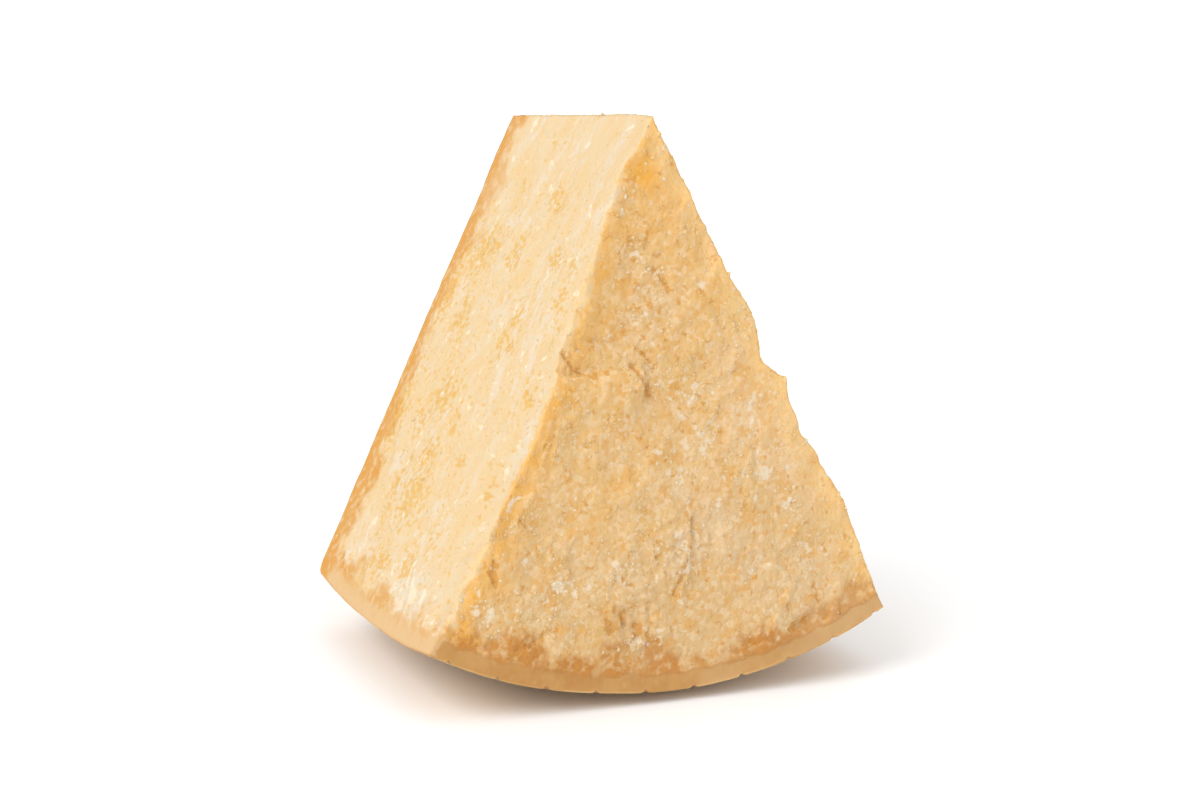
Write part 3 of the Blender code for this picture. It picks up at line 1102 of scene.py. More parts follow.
    def masks(self, places: Places, grains: dict[Face, Array]) -> dict[Mask, Array]:
        """What the finish needs to know about each place, worked out from distances and noise.

        Args:
            places: the surface's points.
            grains: the fine relief of the faces.

        Returns:
            Each mask's number for each point.
        """
        away = places.distances
        on = {face: bump(distance, 0, self.mask_reach) for face, distance in away.items()}
        proud = sum(on[face] * height for face, height in grains.items()) / self.front.texture.grain_height
        # Painted shade in the hollow above the shelf, on the front only.
        shaded = self.front.shaded(places) * on[Face.FRONT]
        band = self.pale_band(places)
        past_ridge = away[Face.LEFT] - np.minimum(away[Face.FRONT], 0.010) * on[Face.LEFT]
        cream = ramp(past_ridge, band + 0.0024, band - 0.0024)
        # Near the tip, for painted light on the front.
        top = ramp(places.radius + 0.0040 * noise(places.points, 0.0060, 313), 0.0160, 0.0080)
        from_back = away[Face.BACK] + 0.0030 * noise(places.points, 0.0060, 311)
        return {
            Mask.UNDER: np.clip(places.under_rind / UNDER_SCALE, 0, 1),
            # Hollows of the fine relief, for painted shade, with some of the painted shade above the shelf.
            Mask.HOLLOW_SHADE: np.maximum(ramp(proud, -0.20, -2.00), 0.30 * shaded),
            Mask.SHADED: shaded,
            # Raised grain: partly painted highlight, partly the grain's own paler tops.
            Mask.PROUD: ramp(proud, 0.30, 1.40),
            Mask.CREAM: cream,
            Mask.GOLDEN: on[Face.LEFT] * self.left.golden(places),
            Mask.FLECKS: self.flecks(places, on),
            # Painted light: a glow for light that comes through the paste.
            Mask.PAINTED_GLOW: self.painted_glow(places, on, band) * (1 - cream),
            # Painted highlight on the front's side edges and near the tip.
            Mask.PAINTED_LIGHT: on[Face.FRONT] * np.maximum(self.painted_light_edges(places, band), 0.55 * top),
            Mask.STRAW: ramp(noise(places.points, 0.030, 310) + 9 * places.x, -0.35, 0.75),
            Mask.BACK: ramp(from_back, 0.0140, 0.0095),
        }

    def pale_band(self, places: Places) -> Array:
        """How far the left break's pale colour reaches round the ridge, or below 0 the front's to the left.

        It is a width by height along the ridge, made wavy by two noises.

        Args:
            places: the surface's points.

        Returns:
            A width for each point.
        """
        wave = 0.0015 * noise(places.points, 0.012, 308) + 0.0014 * noise(places.points, 0.0050, 309)
        return np.interp(places.radius, self.ridge_downs, self.ridge_bands) + wave

    def flecks(self, places: Places, on: dict[Face, Array]) -> Array:
        """Where white flecks of crushed crystals lie: in named places, in clouds and low on the left.

        Args:
            places: the surface's points.
            on: how near each point is to each face, from 0 to 1.

        Returns:
            A value from 0 to 1 for each point.
        """
        powder = 1.3 * spots(places.radius, places.depth, (self.powder_place,))
        clouds = ramp(noise(places.points, 0.015, 305), 0.10, 0.75)
        streaks = ramp(noise(places.points, (1, 0.010, 0.022), 306), 0.05, 0.70)
        broken = 0.75 + 0.60 * noise(places.points, 0.0055, 312)
        front = on[Face.FRONT] * np.maximum(spots(places.x, places.down, self.fleck_places), 0.60 * clouds)
        left = on[Face.LEFT] * np.maximum(powder, 0.50 * streaks)
        # Fewer flecks in the painted shade above the shelf.
        shown = (front + left + 0.6 * on[Face.RIGHT] * clouds) * (1 - 0.5 * self.front.shaded(places))
        return np.clip(shown * broken, 0, 1)

    def painted_light_edges(self, places: Places, band: Array) -> Array:
        """How much painted light brightens the front's two side edges: humps beside them, broken up by noise.

        Args:
            places: the surface's points.
            band: the pale band's width.

        Returns:
            A value for each point.
        """
        beside_left = 0.40 * bump(np.maximum(places.distances[Face.LEFT] - band, 0), 0, 0.0040)
        beside_right = 0.75 * bump(places.distances[Face.RIGHT], 0, 0.0085)
        return np.maximum(beside_left, beside_right) * (0.85 + 0.7 * noise(places.points, 0.007, 314))

    def painted_glow(self, places: Places, on: dict[Face, Array], band: Array) -> Array:
        """Where painted glow stands in for light that comes through the paste, on the front and right: beside
        the side edges and at the tip.

        Args:
            places: the surface's points.
            on: how near each point is to each face, from 0 to 1.
            band: the pale band's width.

        Returns:
            A value from 0 to 1 for each point.
        """
        away = places.distances
        lower = 0.62 + 0.30 * ramp(places.radius, 0.140, 0.185)
        beside_left = lower * bump(np.maximum(away[Face.LEFT] - band, 0), 0, 0.0120)
        tip = 0.85 * ramp(places.radius, 0.055, 0.018)
        edge = np.maximum(beside_left, 0.35 * bump(away[Face.RIGHT], 0, 0.012))
        front = on[Face.FRONT] * np.maximum(edge, tip)
        right = on[Face.RIGHT] * np.maximum(0.6 * bump(away[Face.FRONT], 0, 0.010), 0.6 * tip)
        return np.clip(np.maximum(front, right) * (0.90 + 1.00 * noise(places.points, 0.010, 307)), 0, 1)

    def build(self, finish: bpy.types.Material) -> tuple[bpy.types.Object, "BreakSurface"]:
        """Makes the piece and writes its masks.

        Args:
            finish: the piece's material.

        Returns:
            The piece, and its triangles as the scattered grains need them.
        """
        grid, triangles = self.lattice.surface()
        places = Places.on_grid(self.wheel, *grid.T)
        grains = self.grains(places)
        points = self.wheel.stand(self.shape(places, grains))
        points = np.clip(points, np.array(CAD_BOX[0]), np.array(CAD_BOX[1]))
        piece, triangles = new_mesh("cheese_body", points, triangles, finish)
        masks = self.masks(places, grains)
        for mask, values in masks.items():
            write_mask(piece, mask, values)
        angle, radius, depth = (
            values[triangles].mean(axis=1) for values in (places.angle, places.radius, places.depth)
        )
        averages = {mask: values[triangles].mean(axis=1) for mask, values in masks.items()}
        return piece, BreakSurface(points[triangles], Places(self.wheel, angle, radius, depth), averages)


@dataclass(frozen=True)
class BreakSurface:
    """The body's triangles: their corners, the places of their middles and their masks."""

    corners: Array
    middles: Places
    masks: dict[Mask, Array]

    @property
    def ways(self) -> Array:
        """The cross product of two edges of each triangle: it points outwards and is twice the area long."""
        return np.cross(self.corners[:, 1] - self.corners[:, 0], self.corners[:, 2] - self.corners[:, 0])

    @property
    def broken(self) -> Array:
        """1 on the broken paste, 0 on the rinds and where a break cuts the rind, and little on the cream."""
        paste = ramp(self.masks[Mask.UNDER] * UNDER_SCALE, 0.0055, 0.0090)
        return paste * (1 - 0.85 * self.masks[Mask.CREAM])

    @property
    def crumbly(self) -> Array:
        """How thickly crumbs lie: in clusters, by a ramp over noise that is never quite 0."""
        return self.broken * (0.18 + ramp(noise(self.middles.points, 0.018, 411), -0.05, 0.55))

    @property
    def crystalline(self) -> Array:
        """How thickly crystals lie: by the flecks, and only well under the rind."""
        deep = ramp(self.masks[Mask.UNDER] * UNDER_SCALE, 0.010, 0.022)
        return self.broken * deep * (0.05 + 2.5 * self.masks[Mask.FLECKS] ** 2)

    def nearest_on_front(self, x: float, down: float) -> int:
        """The number of the front's triangle that is nearest to a place on it."""
        behind = 10 * self.middles.depth
        return int(np.argmin((self.middles.x - x) ** 2 + (self.middles.down - down) ** 2 + behind**2))


class NodeBoard:
    """A material's nodes, added one after another and joined as they are made."""

    def __init__(self, name: str) -> None:
        """Makes an empty material with its shader and output.

        Args:
            name: the material's name.
        """
        self.material = bpy.data.materials.new(name)
        self.material.use_nodes = True
        self.tree = self.material.node_tree
        self.shader = self.tree.nodes["Principled BSDF"]
        self.place = self.add("ShaderNodeTexCoord").outputs["Object"]

    def add(self, kind: str, **settings: object) -> bpy.types.Node:
        """Adds a node and sets its own properties.

        Args:
            kind: the node's type.
            **settings: the properties' values by name.

        Returns:
            The node.
        """
        node = self.tree.nodes.new(kind)
        for key, value in settings.items():
            setattr(node, key, value)
        return node

    def put(self, socket: Socket, value: object) -> None:
        """Joins an output to an input, or sets the input's own value.

        Args:
            socket: the input.
            value: an output, a number, a vector or a colour.
        """
        if isinstance(value, bpy.types.NodeSocket):
            self.tree.links.new(value, socket)
        elif isinstance(value, tuple) and len(value) == 3 and socket.type == "RGBA":
            socket.default_value = (*value, 1.0)
        else:
            socket.default_value = value

    def node(self, kind: str, values: dict, **settings: object) -> bpy.types.Node:
        """Adds a node and fills its inputs.

        Args:
            kind: the node's type.
            values: what goes into its inputs, by name or number.
            **settings: the properties' values by name.

        Returns:
            The node.
        """
        node = self.add(kind, **settings)
        for key, value in values.items():
            self.put(node.inputs[key], value)
        return node

    def mask(self, mask: Mask) -> Socket:
        """One of the piece's own numbers."""
        return self.add("ShaderNodeAttribute", attribute_name=mask.value).outputs["Fac"]

    def vector(self, operation: str, first: object, second: object) -> Socket:
        """The outcome of an operation on two vectors."""
        return self.node("ShaderNodeVectorMath", {0: first, 1: second}, operation=operation).outputs["Vector"]

    def drawn_out(self, angle: float, stretch: tuple) -> Socket:
        """The place turned about Y by an angle, then scaled along each axis."""
        turned = self.node("ShaderNodeMapping", {"Vector": self.place, "Rotation": (0.0, angle, 0.0)})
        return self.vector("MULTIPLY", turned.outputs["Vector"], stretch)

    def warped(self, width: float, far: float) -> Socket:
        """The place moved about by up to half of far, in lumps as wide as width.

        Args:
            width: the lumps' width.
            far: the whole range of the moves.

        Returns:
            The moved place.
        """
        node = self.node("ShaderNodeTexNoise", {"Vector": self.place, "Scale": 1 / width})
        middle = self.vector("SUBTRACT", node.outputs["Color"], (0.5, 0.5, 0.5))
        return self.vector("ADD", self.place, self.vector("MULTIPLY", middle, (far, far, far)))

    def noise(self, width: float, detail: float = 2.0, place: object = None) -> Socket:
        """Noise from 0 to 1 whose lumps are about as wide as width."""
        values = {"Vector": place or self.place, "Scale": 1 / width, "Detail": detail}
        return self.node("ShaderNodeTexNoise", values).outputs["Fac"]

    def grains(self, width: float, place: object) -> tuple[Socket, Socket]:
        """Grains about as wide as width.

        Args:
            width: the grains' width.
            place: where to read them.

        Returns:
            The distance from each grain's middle, in widths, and the grain's own random number.
        """
        node = self.node("ShaderNodeTexVoronoi", {"Vector": place, "Scale": 1 / width})
        split = self.node("ShaderNodeSeparateColor", {"Color": node.outputs["Color"]})
        return node.outputs["Distance"], split.outputs["Red"]

    def range(self, value: object, start: float, end: float, low: float = 0.0, high: float = 1.0) -> Socket:
        """Carries start to low and end to high, smoothly and held at both ends."""
        values = {"Value": value, "From Min": start, "From Max": end, "To Min": low, "To Max": high}
        return self.node("ShaderNodeMapRange", values, interpolation_type="SMOOTHSTEP").outputs["Result"]

    def patches(
        self, width: float, detail: float, start: float, end: float,
        low: float = 0.0, high: float = 1.0, place: object = None,
    ) -> Socket:
        """Noise of a width and detail, carried through a range."""
        return self.range(self.noise(width, detail, place), start, end, low, high)

    def maths(self, operation: str, first: object, second: object) -> Socket:
        """The outcome of an operation on two numbers."""
        return self.node("ShaderNodeMath", {0: first, 1: second}, operation=operation).outputs["Value"]

    def plus(self, first: object, second: object) -> Socket:
        """The sum of two numbers."""
        return self.maths("ADD", first, second)

    def minus(self, first: object, second: object) -> Socket:
        """The difference of two numbers."""
        return self.maths("SUBTRACT", first, second)

    def times(self, *values: object) -> Socket:
        """The product of one or more numbers.

        Args:
            *values: the numbers.

        Returns:
            Their product.
        """
        product = values[0]
        for value in values[1:]:
            product = self.maths("MULTIPLY", product, value)
        return product

    def mix(self, share: object, first: object, second: object, blend: str = "MIX") -> Socket:
        """Blends two colours by a share."""
        values = {0: share, 6: first, 7: second}
        return self.node("ShaderNodeMix", values, data_type="RGBA", blend_type=blend).outputs[2]

    def tint(self, colour: object, over: object, *shares: object) -> Socket:
        """Lays a colour over another by the product of the shares."""
        return self.mix(self.times(*shares), colour, over)

    def relief(self, *layers: tuple) -> None:
        """Bumps the surface.

        Args:
            *layers: each layer's height, distance and strength.
        """
        values = {}
        for height, distance, strength in layers:
            values |= {"Height": height, "Distance": distance, "Strength": strength}
            values["Normal"] = self.node("ShaderNodeBump", values).outputs["Normal"]
        self.put(self.shader.inputs["Normal"], values["Normal"])

    def finish(self, colour: object, roughness: object, **constants: object) -> bpy.types.Material:
        """Joins the colour and roughness, and sets the shader's constant sockets.

        Args:
            colour: the base colour.
            roughness: the roughness.
            **constants: the other sockets' values by name, with an underscore for each space.

        Returns:
            The material.
        """
        self.put(self.shader.inputs["Base Color"], colour)
        self.put(self.shader.inputs["Roughness"], roughness)
        for name, value in constants.items():
            self.put(self.shader.inputs[name.replace("_", " ")], value)
        return self.material


class CheeseBoard(NodeBoard):
    """A board with what all of the cheese's colours read."""

    def __init__(self, name: str) -> None:
        """Reads the distance under the rind, the cream with a broken-up edge, and the grains.

        Args:
            name: the material's name.
        """
        super().__init__(name)
        self.under = self.times(self.mask(Mask.UNDER), UNDER_SCALE)
        self.outside = self.range(self.under, 0.0010, 0.0002)
        broken_up = self.patches(0.0036, 5, 0.30, 0.70, -0.40, 0.40)
        self.cream = self.range(self.plus(self.mask(Mask.CREAM), broken_up), 0.20, 0.80)
        self.distance, self.tone = self.grains(0.0019, self.warped(0.0026, 0.0018))


@dataclass(frozen=True)
class PasteFinish:
    """The broken paste: gold and straw on the front and right, cream on the left, and ochre pits, partly at
    random and partly painted shade in its hollows.
    """

    gold: Colour = (0.684, 0.434, 0.176)
    straw: Colour = (0.712, 0.492, 0.268)
    dry: Colour = (0.600, 0.412, 0.205)
    painted_shade: Colour = (0.560, 0.350, 0.140)
    # Painted shade: the darker colour of the hollow above the shelf.
    amber: Colour = (0.655, 0.345, 0.085)
    ochre: Colour = (0.580, 0.275, 0.055)
    pale: Colour = (0.740, 0.560, 0.350)
    cream: Colour = (0.630, 0.480, 0.285)
    cream_deep: Colour = (0.630, 0.435, 0.205)
    golden: Colour = (0.610, 0.360, 0.085)
    white: Colour = (0.625, 0.540, 0.430)
    powder: Colour = (0.598, 0.536, 0.438)
    chalk: Colour = (0.740, 0.610, 0.440)
    # Painted light: a deep golden glow for light that comes through the paste.
    painted_glow: Colour = (0.735, 0.364, 0.050)
    # Painted highlight for the front's side edges and tip.
    painted_highlight: Colour = (0.830, 0.560, 0.240)
    streak_angle: float = -math.radians(26.75)
    streak_stretch: tuple = (1.0, 1.0, 0.55)

    def colour(self, board: CheeseBoard) -> Socket:
        """Lays each colour over the last by a mask times a threshold of noise or of the grains' own numbers.

        Args:
            board: the material's nodes.

        Returns:
            The paste's colour.
        """
        colour = board.tint(self.gold, self.straw, board.mask(Mask.STRAW))
        colour = board.tint(colour, self.dry, board.range(board.under, 0.085, 0.040, 0.0, 0.55))
        # Painted shade in the hollow above the shelf.
        colour = board.tint(colour, self.painted_shade, board.mask(Mask.SHADED), 0.60)
        colour = board.tint(colour, self.amber, board.patches(0.0070, 5, 0.50, 0.64), 0.60)
        colour = board.tint(colour, self.pale, board.range(board.tone, 0.58, 0.95, 0.0, 0.50))
        colour = board.tint(colour, self.amber, board.range(board.tone, 0.34, 0.0, 0.0, 0.35))
        # Painted light coming through the paste at the edges and the tip.
        colour = board.tint(colour, self.painted_glow, board.mask(Mask.PAINTED_GLOW), 0.92)
        colour = board.tint(colour, self.left(board), board.cream)
        # Painted highlight on the front's side edges and tip.
        colour = board.tint(colour, self.painted_highlight, board.mask(Mask.PAINTED_LIGHT), 0.80)
        colour = board.tint(colour, self.pale, board.mask(Mask.TONE), 0.40)
        # Paler raised grain: partly painted highlight, partly the grain's own paler tops.
        colour = board.tint(colour, self.pale, board.mask(Mask.PROUD), 0.45)
        # Ochre pits: partly at random, partly painted shade in the hollows of the relief.
        pits = board.plus(board.noise(0.0031, 4), board.times(board.mask(Mask.HOLLOW_SHADE), 0.24))
        shown = board.minus(0.80, board.times(board.cream, 0.40))
        pit_colour = board.mix(board.cream, self.ochre, self.golden)
        colour = board.tint(colour, pit_colour, board.range(pits, 0.60, 0.72), shown)
        lumps = board.plus(board.noise(0.0044, 5), board.times(board.mask(Mask.FLECKS), 0.19))
        return board.tint(colour, self.chalk, board.range(lumps, 0.635, 0.730, 0.0, 0.85))

    def left(self, board: CheeseBoard) -> Socket:
        """The left break's colour: cream, with streaks along the radius and golden speckles.

        Args:
            board: the material's nodes.

        Returns:
            The colour.
        """
        drawn = board.drawn_out(self.streak_angle, self.streak_stretch)
        wide = board.patches(0.0160, 4, 0.42, 0.62, place=drawn)
        colour = board.tint(self.cream, self.cream_deep, wide, 0.40)
        narrow = board.patches(0.0074, 5, 0.42, 0.64, place=drawn)
        colour = board.tint(colour, self.cream_deep, narrow, 0.50)
        colour = board.tint(colour, self.cream_deep, board.range(board.tone, 0.30, 0.0, 0.0, 0.30))
        region = board.patches(0.020, 2, 0.42, 0.62, place=drawn)
        milky = board.patches(0.0046, 4, 0.47, 0.63, place=drawn)
        colour = board.tint(colour, self.white, region, milky, 0.65)
        dusted = board.patches(0.0026, 4, 0.38, 0.52)
        colour = board.tint(colour, self.powder, board.mask(Mask.FLECKS), dusted)
        speckle = board.plus(board.noise(0.0021, 5), board.times(board.mask(Mask.GOLDEN), 0.19))
        return board.tint(colour, self.golden, board.range(speckle, 0.575, 0.71, 0.0, 0.85))


@dataclass(frozen=True)
class RindFinish:
    """The rind: a smooth tan layer where a break cuts it, brown mottles above it, and a waxy skin outside."""

    brown: Colour = (0.490, 0.200, 0.030)
    tan: Colour = (0.515, 0.282, 0.089)
    tan_deep: Colour = (0.465, 0.228, 0.061)
    side: Colour = (0.590, 0.388, 0.188)
    back: Colour = (0.545, 0.256, 0.041)
    line: Colour = (0.430, 0.200, 0.050)
    skin: Colour = (0.600, 0.370, 0.145)
    skin_dark: Colour = (0.450, 0.245, 0.080)
    skin_light: Colour = (0.680, 0.460, 0.220)
    # Painted shade for the rind's dimples.
    pit: Colour = (0.300, 0.140, 0.040)
    thickness: float = 0.0068
    browned: float = 0.0185

    def colour(self, board: CheeseBoard, paste: Socket) -> Socket:
        """Lays the brown mottles, the rind, its inner line and the skin over the paste by distance.

        On the left break the mottles are golden and the rind is paler, with a soft inner side. To the
        right the rind is paler too.

        Args:
            board: the material's nodes.
            paste: the paste's colour.

        Returns:
            The whole chunk's colour.
        """
        within = board.plus(board.under, board.patches(0.0075, 3, 0.2, 0.8, -0.0012, 0.0012))
        reach = board.plus(within, board.patches(0.013, 3, 0.25, 0.75, -0.007, 0.007))
        mottle = board.patches(0.0036, 5, 0.34, 0.54, 0.30, 1.0)
        bare = board.minus(1.0, board.times(board.cream, board.mask(Mask.FLECKS), 0.80))
        share = board.minus(0.92, board.times(board.mask(Mask.STRAW), 0.30))
        browning = board.times(board.range(reach, self.browned, 0.0085), mottle, bare, share)
        colour = board.tint(paste, board.mix(board.cream, self.brown, self.back), browning)
        cut = board.range(within, self.thickness + 0.0009, self.thickness - 0.0009)
        soft = board.range(within, self.thickness + 0.0035, self.thickness - 0.0030)
        layer = board.tint(self.tan, self.tan_deep, board.patches(0.010, 3, 0.35, 0.65))
        layer = board.tint(layer, self.side, board.mask(Mask.STRAW), 0.55)
        beside = board.times(board.mask(Mask.BACK), board.patches(0.0034, 4, 0.32, 0.50))
        layer = board.mix(board.cream, layer, board.mix(beside, self.side, self.back))
        colour = board.tint(colour, layer, board.mix(board.cream, cut, soft), 0.92)
        inner = board.times(
            board.range(within, self.thickness - 0.0010, self.thickness),
            board.range(within, self.thickness + 0.0012, self.thickness + 0.0003),
            board.minus(1.0, board.cream),
        )
        colour = board.tint(colour, self.line, inner, 0.45)
        skin = board.tint(self.skin, self.skin_dark, board.patches(0.022, 5, 0.40, 0.68))
        skin = board.tint(skin, self.skin_light, board.patches(0.0060, 4, 0.58, 0.74, 0.0, 0.6))
        # Painted shade: the skin darkened in its dimples.
        skin = board.tint(skin, self.pit, board.mask(Mask.HOLLOW_SHADE), 0.8)
        return board.tint(colour, skin, board.outside)


@dataclass(frozen=True)
class CheeseFinish:
    """The whole chunk's finish: colour, gloss, grain and the light that comes through it."""

    paste: PasteFinish = field(default_factory=PasteFinish)
    rind: RindFinish = field(default_factory=RindFinish)
    through: tuple = (1.0, 0.46, 0.18)
    through_depth: float = 0.0035

    def material(self, name: str, inner_light: float) -> bpy.types.Material:
        """Builds the material: paste and rind by the distance under the rind, and a bump of grains.

        Args:
            name: the material's name.
            inner_light: the share of light that comes through the paste.

        Returns:
            The material.
        """
        board = CheeseBoard(name)
        colour = self.rind.colour(board, self.paste.colour(board))
        rough = board.minus(board.patches(0.004, 2, 0.3, 0.7, 0.52, 0.68), board.times(board.outside, 0.12))
        firm = board.range(board.under, 0.0060, 0.0100, 0.25, 1.0)
        calm = board.times(firm, board.minus(1.0, board.times(board.cream, 0.45)))
        board.relief(
            (board.times(board.range(board.distance, 0.75, 0.0), calm), 0.00030, 0.75),
            (board.times(board.noise(0.0012, 3), calm), 0.00028, 0.8),
            (board.noise(0.0028, 4), 0.00012, 0.5),
        )
        return board.finish(
            colour, rough,
            Subsurface_Weight=inner_light, Subsurface_Radius=self.through,
            Subsurface_Scale=self.through_depth, Specular_IOR_Level=0.30,
        )


@dataclass(frozen=True)
class CrystalFinish:
    """White crystals in two tones, picked by each grain's own number."""

    light: Colour = (0.790, 0.640, 0.440)
    deep: Colour = (0.735, 0.540, 0.300)

    def material(self) -> bpy.types.Material:
        """Builds the material: the tone blends the two colours, and a fine noise mottles them."""
        board = NodeBoard("white_crystal")
        colour = board.mix(board.mask(Mask.TONE), self.light, self.deep)
        mottle = board.mix(board.patches(0.0009, 2, 0.3, 0.7, 0.86, 1.0), (0.0, 0.0, 0.0), (1.0, 1.0, 1.0))
        board.relief((board.noise(0.0005, 2), 0.0001, 0.5))
        return board.finish(board.mix(1.0, colour, mottle, "MULTIPLY"), 0.70, Specular_IOR_Level=0.25)


@dataclass(frozen=True)
class Scatter:
    """Many small grains of one kind, half sunk in the breaks, joined into one mesh.

    Each grain is a 32-sided pebble: an octahedron with its edges halved, pushed out to a sphere, then made
    uneven, stretched, turned and set on the surface. Each placed grain has an x, a down and a width.
    """

    name: str
    count: int
    seed: int
    smallest: float
    largest: float
    sunk: float
    unevenness: float
    flatness: float = 0.50
    commonness: float = 1.8
    placed: tuple = ()

    @staticmethod
    def pebble() -> tuple[Array, Array]:
        """The unit pebble: eight corners' triangles, each cut into four at the middles of its edges.

        Returns:
            Its 18 points and 32 triangles.
        """
        points, triangles = [], []
        for sign in itertools.product((1.0, -1.0), repeat=3):
            a, b, c = np.diag(sign)
            ab, bc, ca = (a + b) / 2, (b + c) / 2, (c + a) / 2
            for triple in ((a, ab, ca), (ab, b, bc), (ca, bc, c), (ab, bc, ca)):
                triangles.append(len(points) + np.arange(3))
                points.extend(triple if np.prod(sign) > 0 else triple[::-1])
        unique, inverse = np.unique(np.round(np.array(points), 6), axis=0, return_inverse=True)
        unit = unique / np.linalg.norm(unique, axis=1, keepdims=True)
        return unit, inverse.reshape(-1)[np.array(triangles)]

    def pick(self, surface: BreakSurface, weights: Array, rng: np.random.Generator) -> tuple[Array, Array]:
        """Picks the triangles that grains lie on by area times weight, and widths that are mostly small.

        Args:
            surface: the body's triangles.
            weights: how often a grain lies on each triangle, for its area.
            rng: the source of chance.

        Returns:
            The triangle and the width of each grain.
        """
        chance = np.linalg.norm(surface.ways, axis=1) * weights
        picked = rng.choice(len(chance), self.count, p=chance / chance.sum())
        growth = rng.random(self.count) ** self.commonness
        width = self.smallest * (self.largest / self.smallest) ** growth
        chosen = np.array([surface.nearest_on_front(x, down) for x, down, _ in self.placed], dtype=int)
        chosen_width = np.array([width for _, _, width in self.placed])
        return np.concatenate([picked, chosen]), np.concatenate([width, chosen_width])

    @staticmethod
    def axes(ways: Array, rng: np.random.Generator) -> Array:
        """Three axes for each grain: a random one along the surface, the one across it and the one outwards.

        Args:
            ways: each grain's way outwards, of any length.
            rng: the source of chance.

        Returns:
            Three rows of three for each grain.
        """
        up = ways / np.linalg.norm(ways, axis=1, keepdims=True)
        side = np.cross(up, rng.normal(size=(len(ways), 3)))
        side /= np.linalg.norm(side, axis=1, keepdims=True)
        return np.stack([side, np.cross(up, side), up], axis=1)

    def build(self, surface: BreakSurface, weights: Array, finish: bpy.types.Material) -> bpy.types.Object:
        """Scatters the grains over the body's triangles, and drops those that reach past the chunk's box.

        Args:
            surface: the body's triangles.
            weights: how often a grain lies on each triangle, for its area.
            finish: the grains' material.

        Returns:
            The joined piece. Its points have the masks of the place that each grain lies on, and a tone.
        """
        rng = np.random.default_rng(self.seed)
        picked, width = self.pick(surface, weights, rng)
        count = len(picked)
        shares = rng.dirichlet((1, 1, 1), count)
        places = (surface.corners[picked] * shares[:, :, None]).sum(axis=1)
        axes = self.axes(surface.ways[picked], rng)
        unit, triangles = self.pebble()
        length, breadth = rng.uniform(0.85, 1.20, count), rng.uniform(0.70, 1.0, count)
        stretch = np.stack([length, breadth, np.full(count, self.flatness)], 1)
        uneven = 1 + self.unevenness * rng.uniform(-1, 1, (count, len(unit)))
        local = unit[None] * uneven[:, :, None] * stretch[:, None] * (width / 2)[:, None, None]
        grains = np.einsum("gpi,gij->gpj", local, axes)
        grains += (places - axes[:, 2] * (self.sunk * width * self.flatness / 2)[:, None])[:, None]
        low, high = (np.array(corner) for corner in CAD_BOX)
        inside = ((grains > low) & (grains < high)).all(axis=(1, 2))
        grains = grains[inside]
        offsets = np.arange(len(grains))[:, None, None] * len(unit)
        joined = (triangles[None] + offsets).reshape(-1, 3)
        piece, _ = new_mesh(self.name, grains.reshape(-1, 3), joined, finish)
        for mask, values in surface.masks.items():
            write_mask(piece, mask, np.repeat(values[picked][inside], len(unit)))
        write_mask(piece, Mask.TONE, np.repeat(rng.random(len(grains)), len(unit)))
        return piece


CRUMBS = Scatter(
    "cheese_crumbs", count=4400, seed=401, smallest=0.0009, largest=0.0028, sunk=0.50, unevenness=0.40,
)
CRYSTALS = Scatter(
    "cheese_crystals", count=800, seed=402, smallest=0.0009, largest=0.0024, sunk=0.60, unevenness=0.38,
    placed=(
        (0.043, 0.110, 0.0036), (0.000, 0.102, 0.0026), (0.015, 0.108, 0.0028), (0.029, 0.138, 0.0030),
        (0.056, 0.150, 0.0034), (0.058, 0.154, 0.0030), (-0.004, 0.059, 0.0026), (0.002, 0.060, 0.0034),
    ),
)


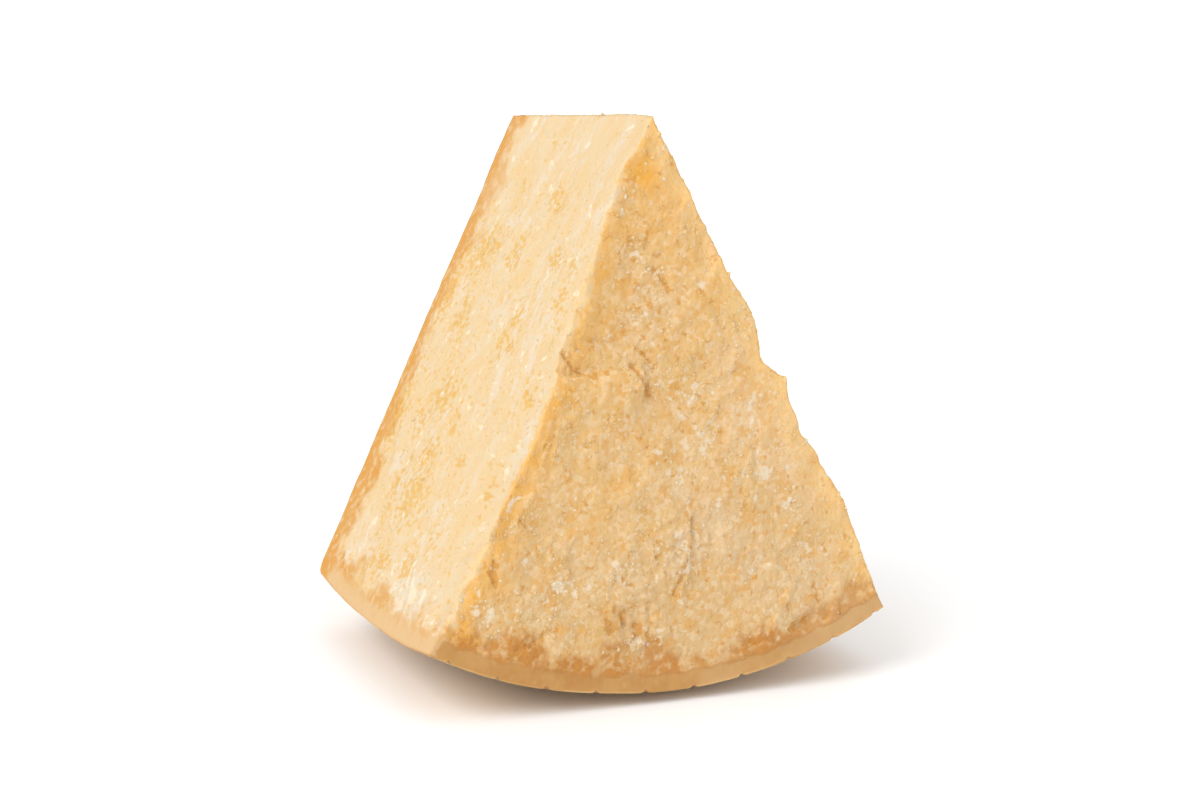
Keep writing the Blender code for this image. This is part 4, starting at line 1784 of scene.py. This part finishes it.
@dataclass(frozen=True)
class Studio:
    """The pale floor, the soft lights and the camera."""

    floor_size: float = 6.0
    floor_colour: Colour = (0.93, 0.93, 0.93)
    floor_roughness: float = 0.9
    sky_strength: float = 1.0
    key_strength: float = 1.55
    key_spread_degrees: float = 35.0
    key_from: Place = (-0.95, -0.25, 0.80)
    azimuth_degrees: float = 28.288
    elevation_degrees: float = 14.181
    roll_degrees: float = 3.566
    target: Place = (0.0031, -0.0006, 0.1011)
    distance: float = 1.3
    lens: float = 98.98

    def build(self) -> None:
        """Makes the floor, the lights and the camera, and sets a plain view transform."""
        self.floor()
        self.lights()
        self.camera()
        bpy.context.scene.view_settings.view_transform = "Standard"

    def floor(self) -> None:
        """A wide level square that the chunk stands on."""
        half = self.floor_size / 2
        points = np.array([(-half, -half, 0), (half, -half, 0), (half, half, 0), (-half, half, 0)])
        mesh = bpy.data.meshes.new("floor")
        mesh.from_pydata(points, [], [(0, 1, 2, 3)])
        mesh.materials.append(NodeBoard("pale_floor").finish(self.floor_colour, self.floor_roughness))
        floor = bpy.data.objects.new("floor", mesh)
        bpy.context.scene.collection.objects.link(floor)

    def lights(self) -> None:
        """An even white surrounding and one wide soft light from high on the left."""
        world = bpy.data.worlds.new("studio")
        world.use_nodes = True
        background = world.node_tree.nodes["Background"]
        background.inputs["Color"].default_value = (1.0, 1.0, 1.0, 1.0)
        background.inputs["Strength"].default_value = self.sky_strength
        bpy.context.scene.world = world
        data = bpy.data.lights.new("key", "SUN")
        data.energy = self.key_strength
        data.angle = math.radians(self.key_spread_degrees)
        lamp = bpy.data.objects.new("key", data)
        lamp.rotation_euler = Vector(self.key_from).to_track_quat("Z", "Y").to_euler()
        bpy.context.scene.collection.objects.link(lamp)

    def camera(self) -> None:
        """A long lens that looks down on the front and left side, with the horizon a little turned."""
        azimuth, elevation, roll = (
            math.radians(angle) for angle in (self.azimuth_degrees, self.elevation_degrees, self.roll_degrees)
        )
        level_ahead = Vector((math.sin(azimuth), math.cos(azimuth), 0))
        ahead = level_ahead * math.cos(elevation) - Vector((0, 0, math.sin(elevation)))
        level = Vector((math.cos(azimuth), -math.sin(azimuth), 0))
        above = level.cross(ahead)
        right = level * math.cos(roll) + above * math.sin(roll)
        up = above * math.cos(roll) - level * math.sin(roll)
        data = bpy.data.cameras.new("camera")
        data.lens = self.lens
        camera = bpy.data.objects.new("camera", data)
        turned = Matrix((right, up, -ahead)).transposed().to_4x4()
        camera.matrix_world = Matrix.Translation(Vector(self.target) - ahead * self.distance) @ turned
        bpy.context.scene.collection.objects.link(camera)
        bpy.context.scene.camera = camera


def carry(piece: bpy.types.Object) -> None:
    """Fixes a finished piece to the chunk's body and reports it.

    Args:
        piece: the piece's object.
    """
    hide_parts(NODE_NAME)
    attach(piece, BODY_NAME)
    log.info("%s: %d faces", piece.name, len(piece.data.polygons))


def main() -> None:
    """Builds the chunk, its crumbs and crystals and the studio."""
    logging.basicConfig(level=logging.INFO, format="%(message)s")
    body, surface = CheeseBody().build(CheeseFinish().material("aged_cheese", 0.25))
    carry(body)
    carry(CRUMBS.build(surface, surface.crumbly, CheeseFinish().material("cheese_crumb", 0.0)))
    carry(CRYSTALS.build(surface, surface.crystalline, CrystalFinish().material()))
    Studio().build()


if __name__ == "__main__":
    main()
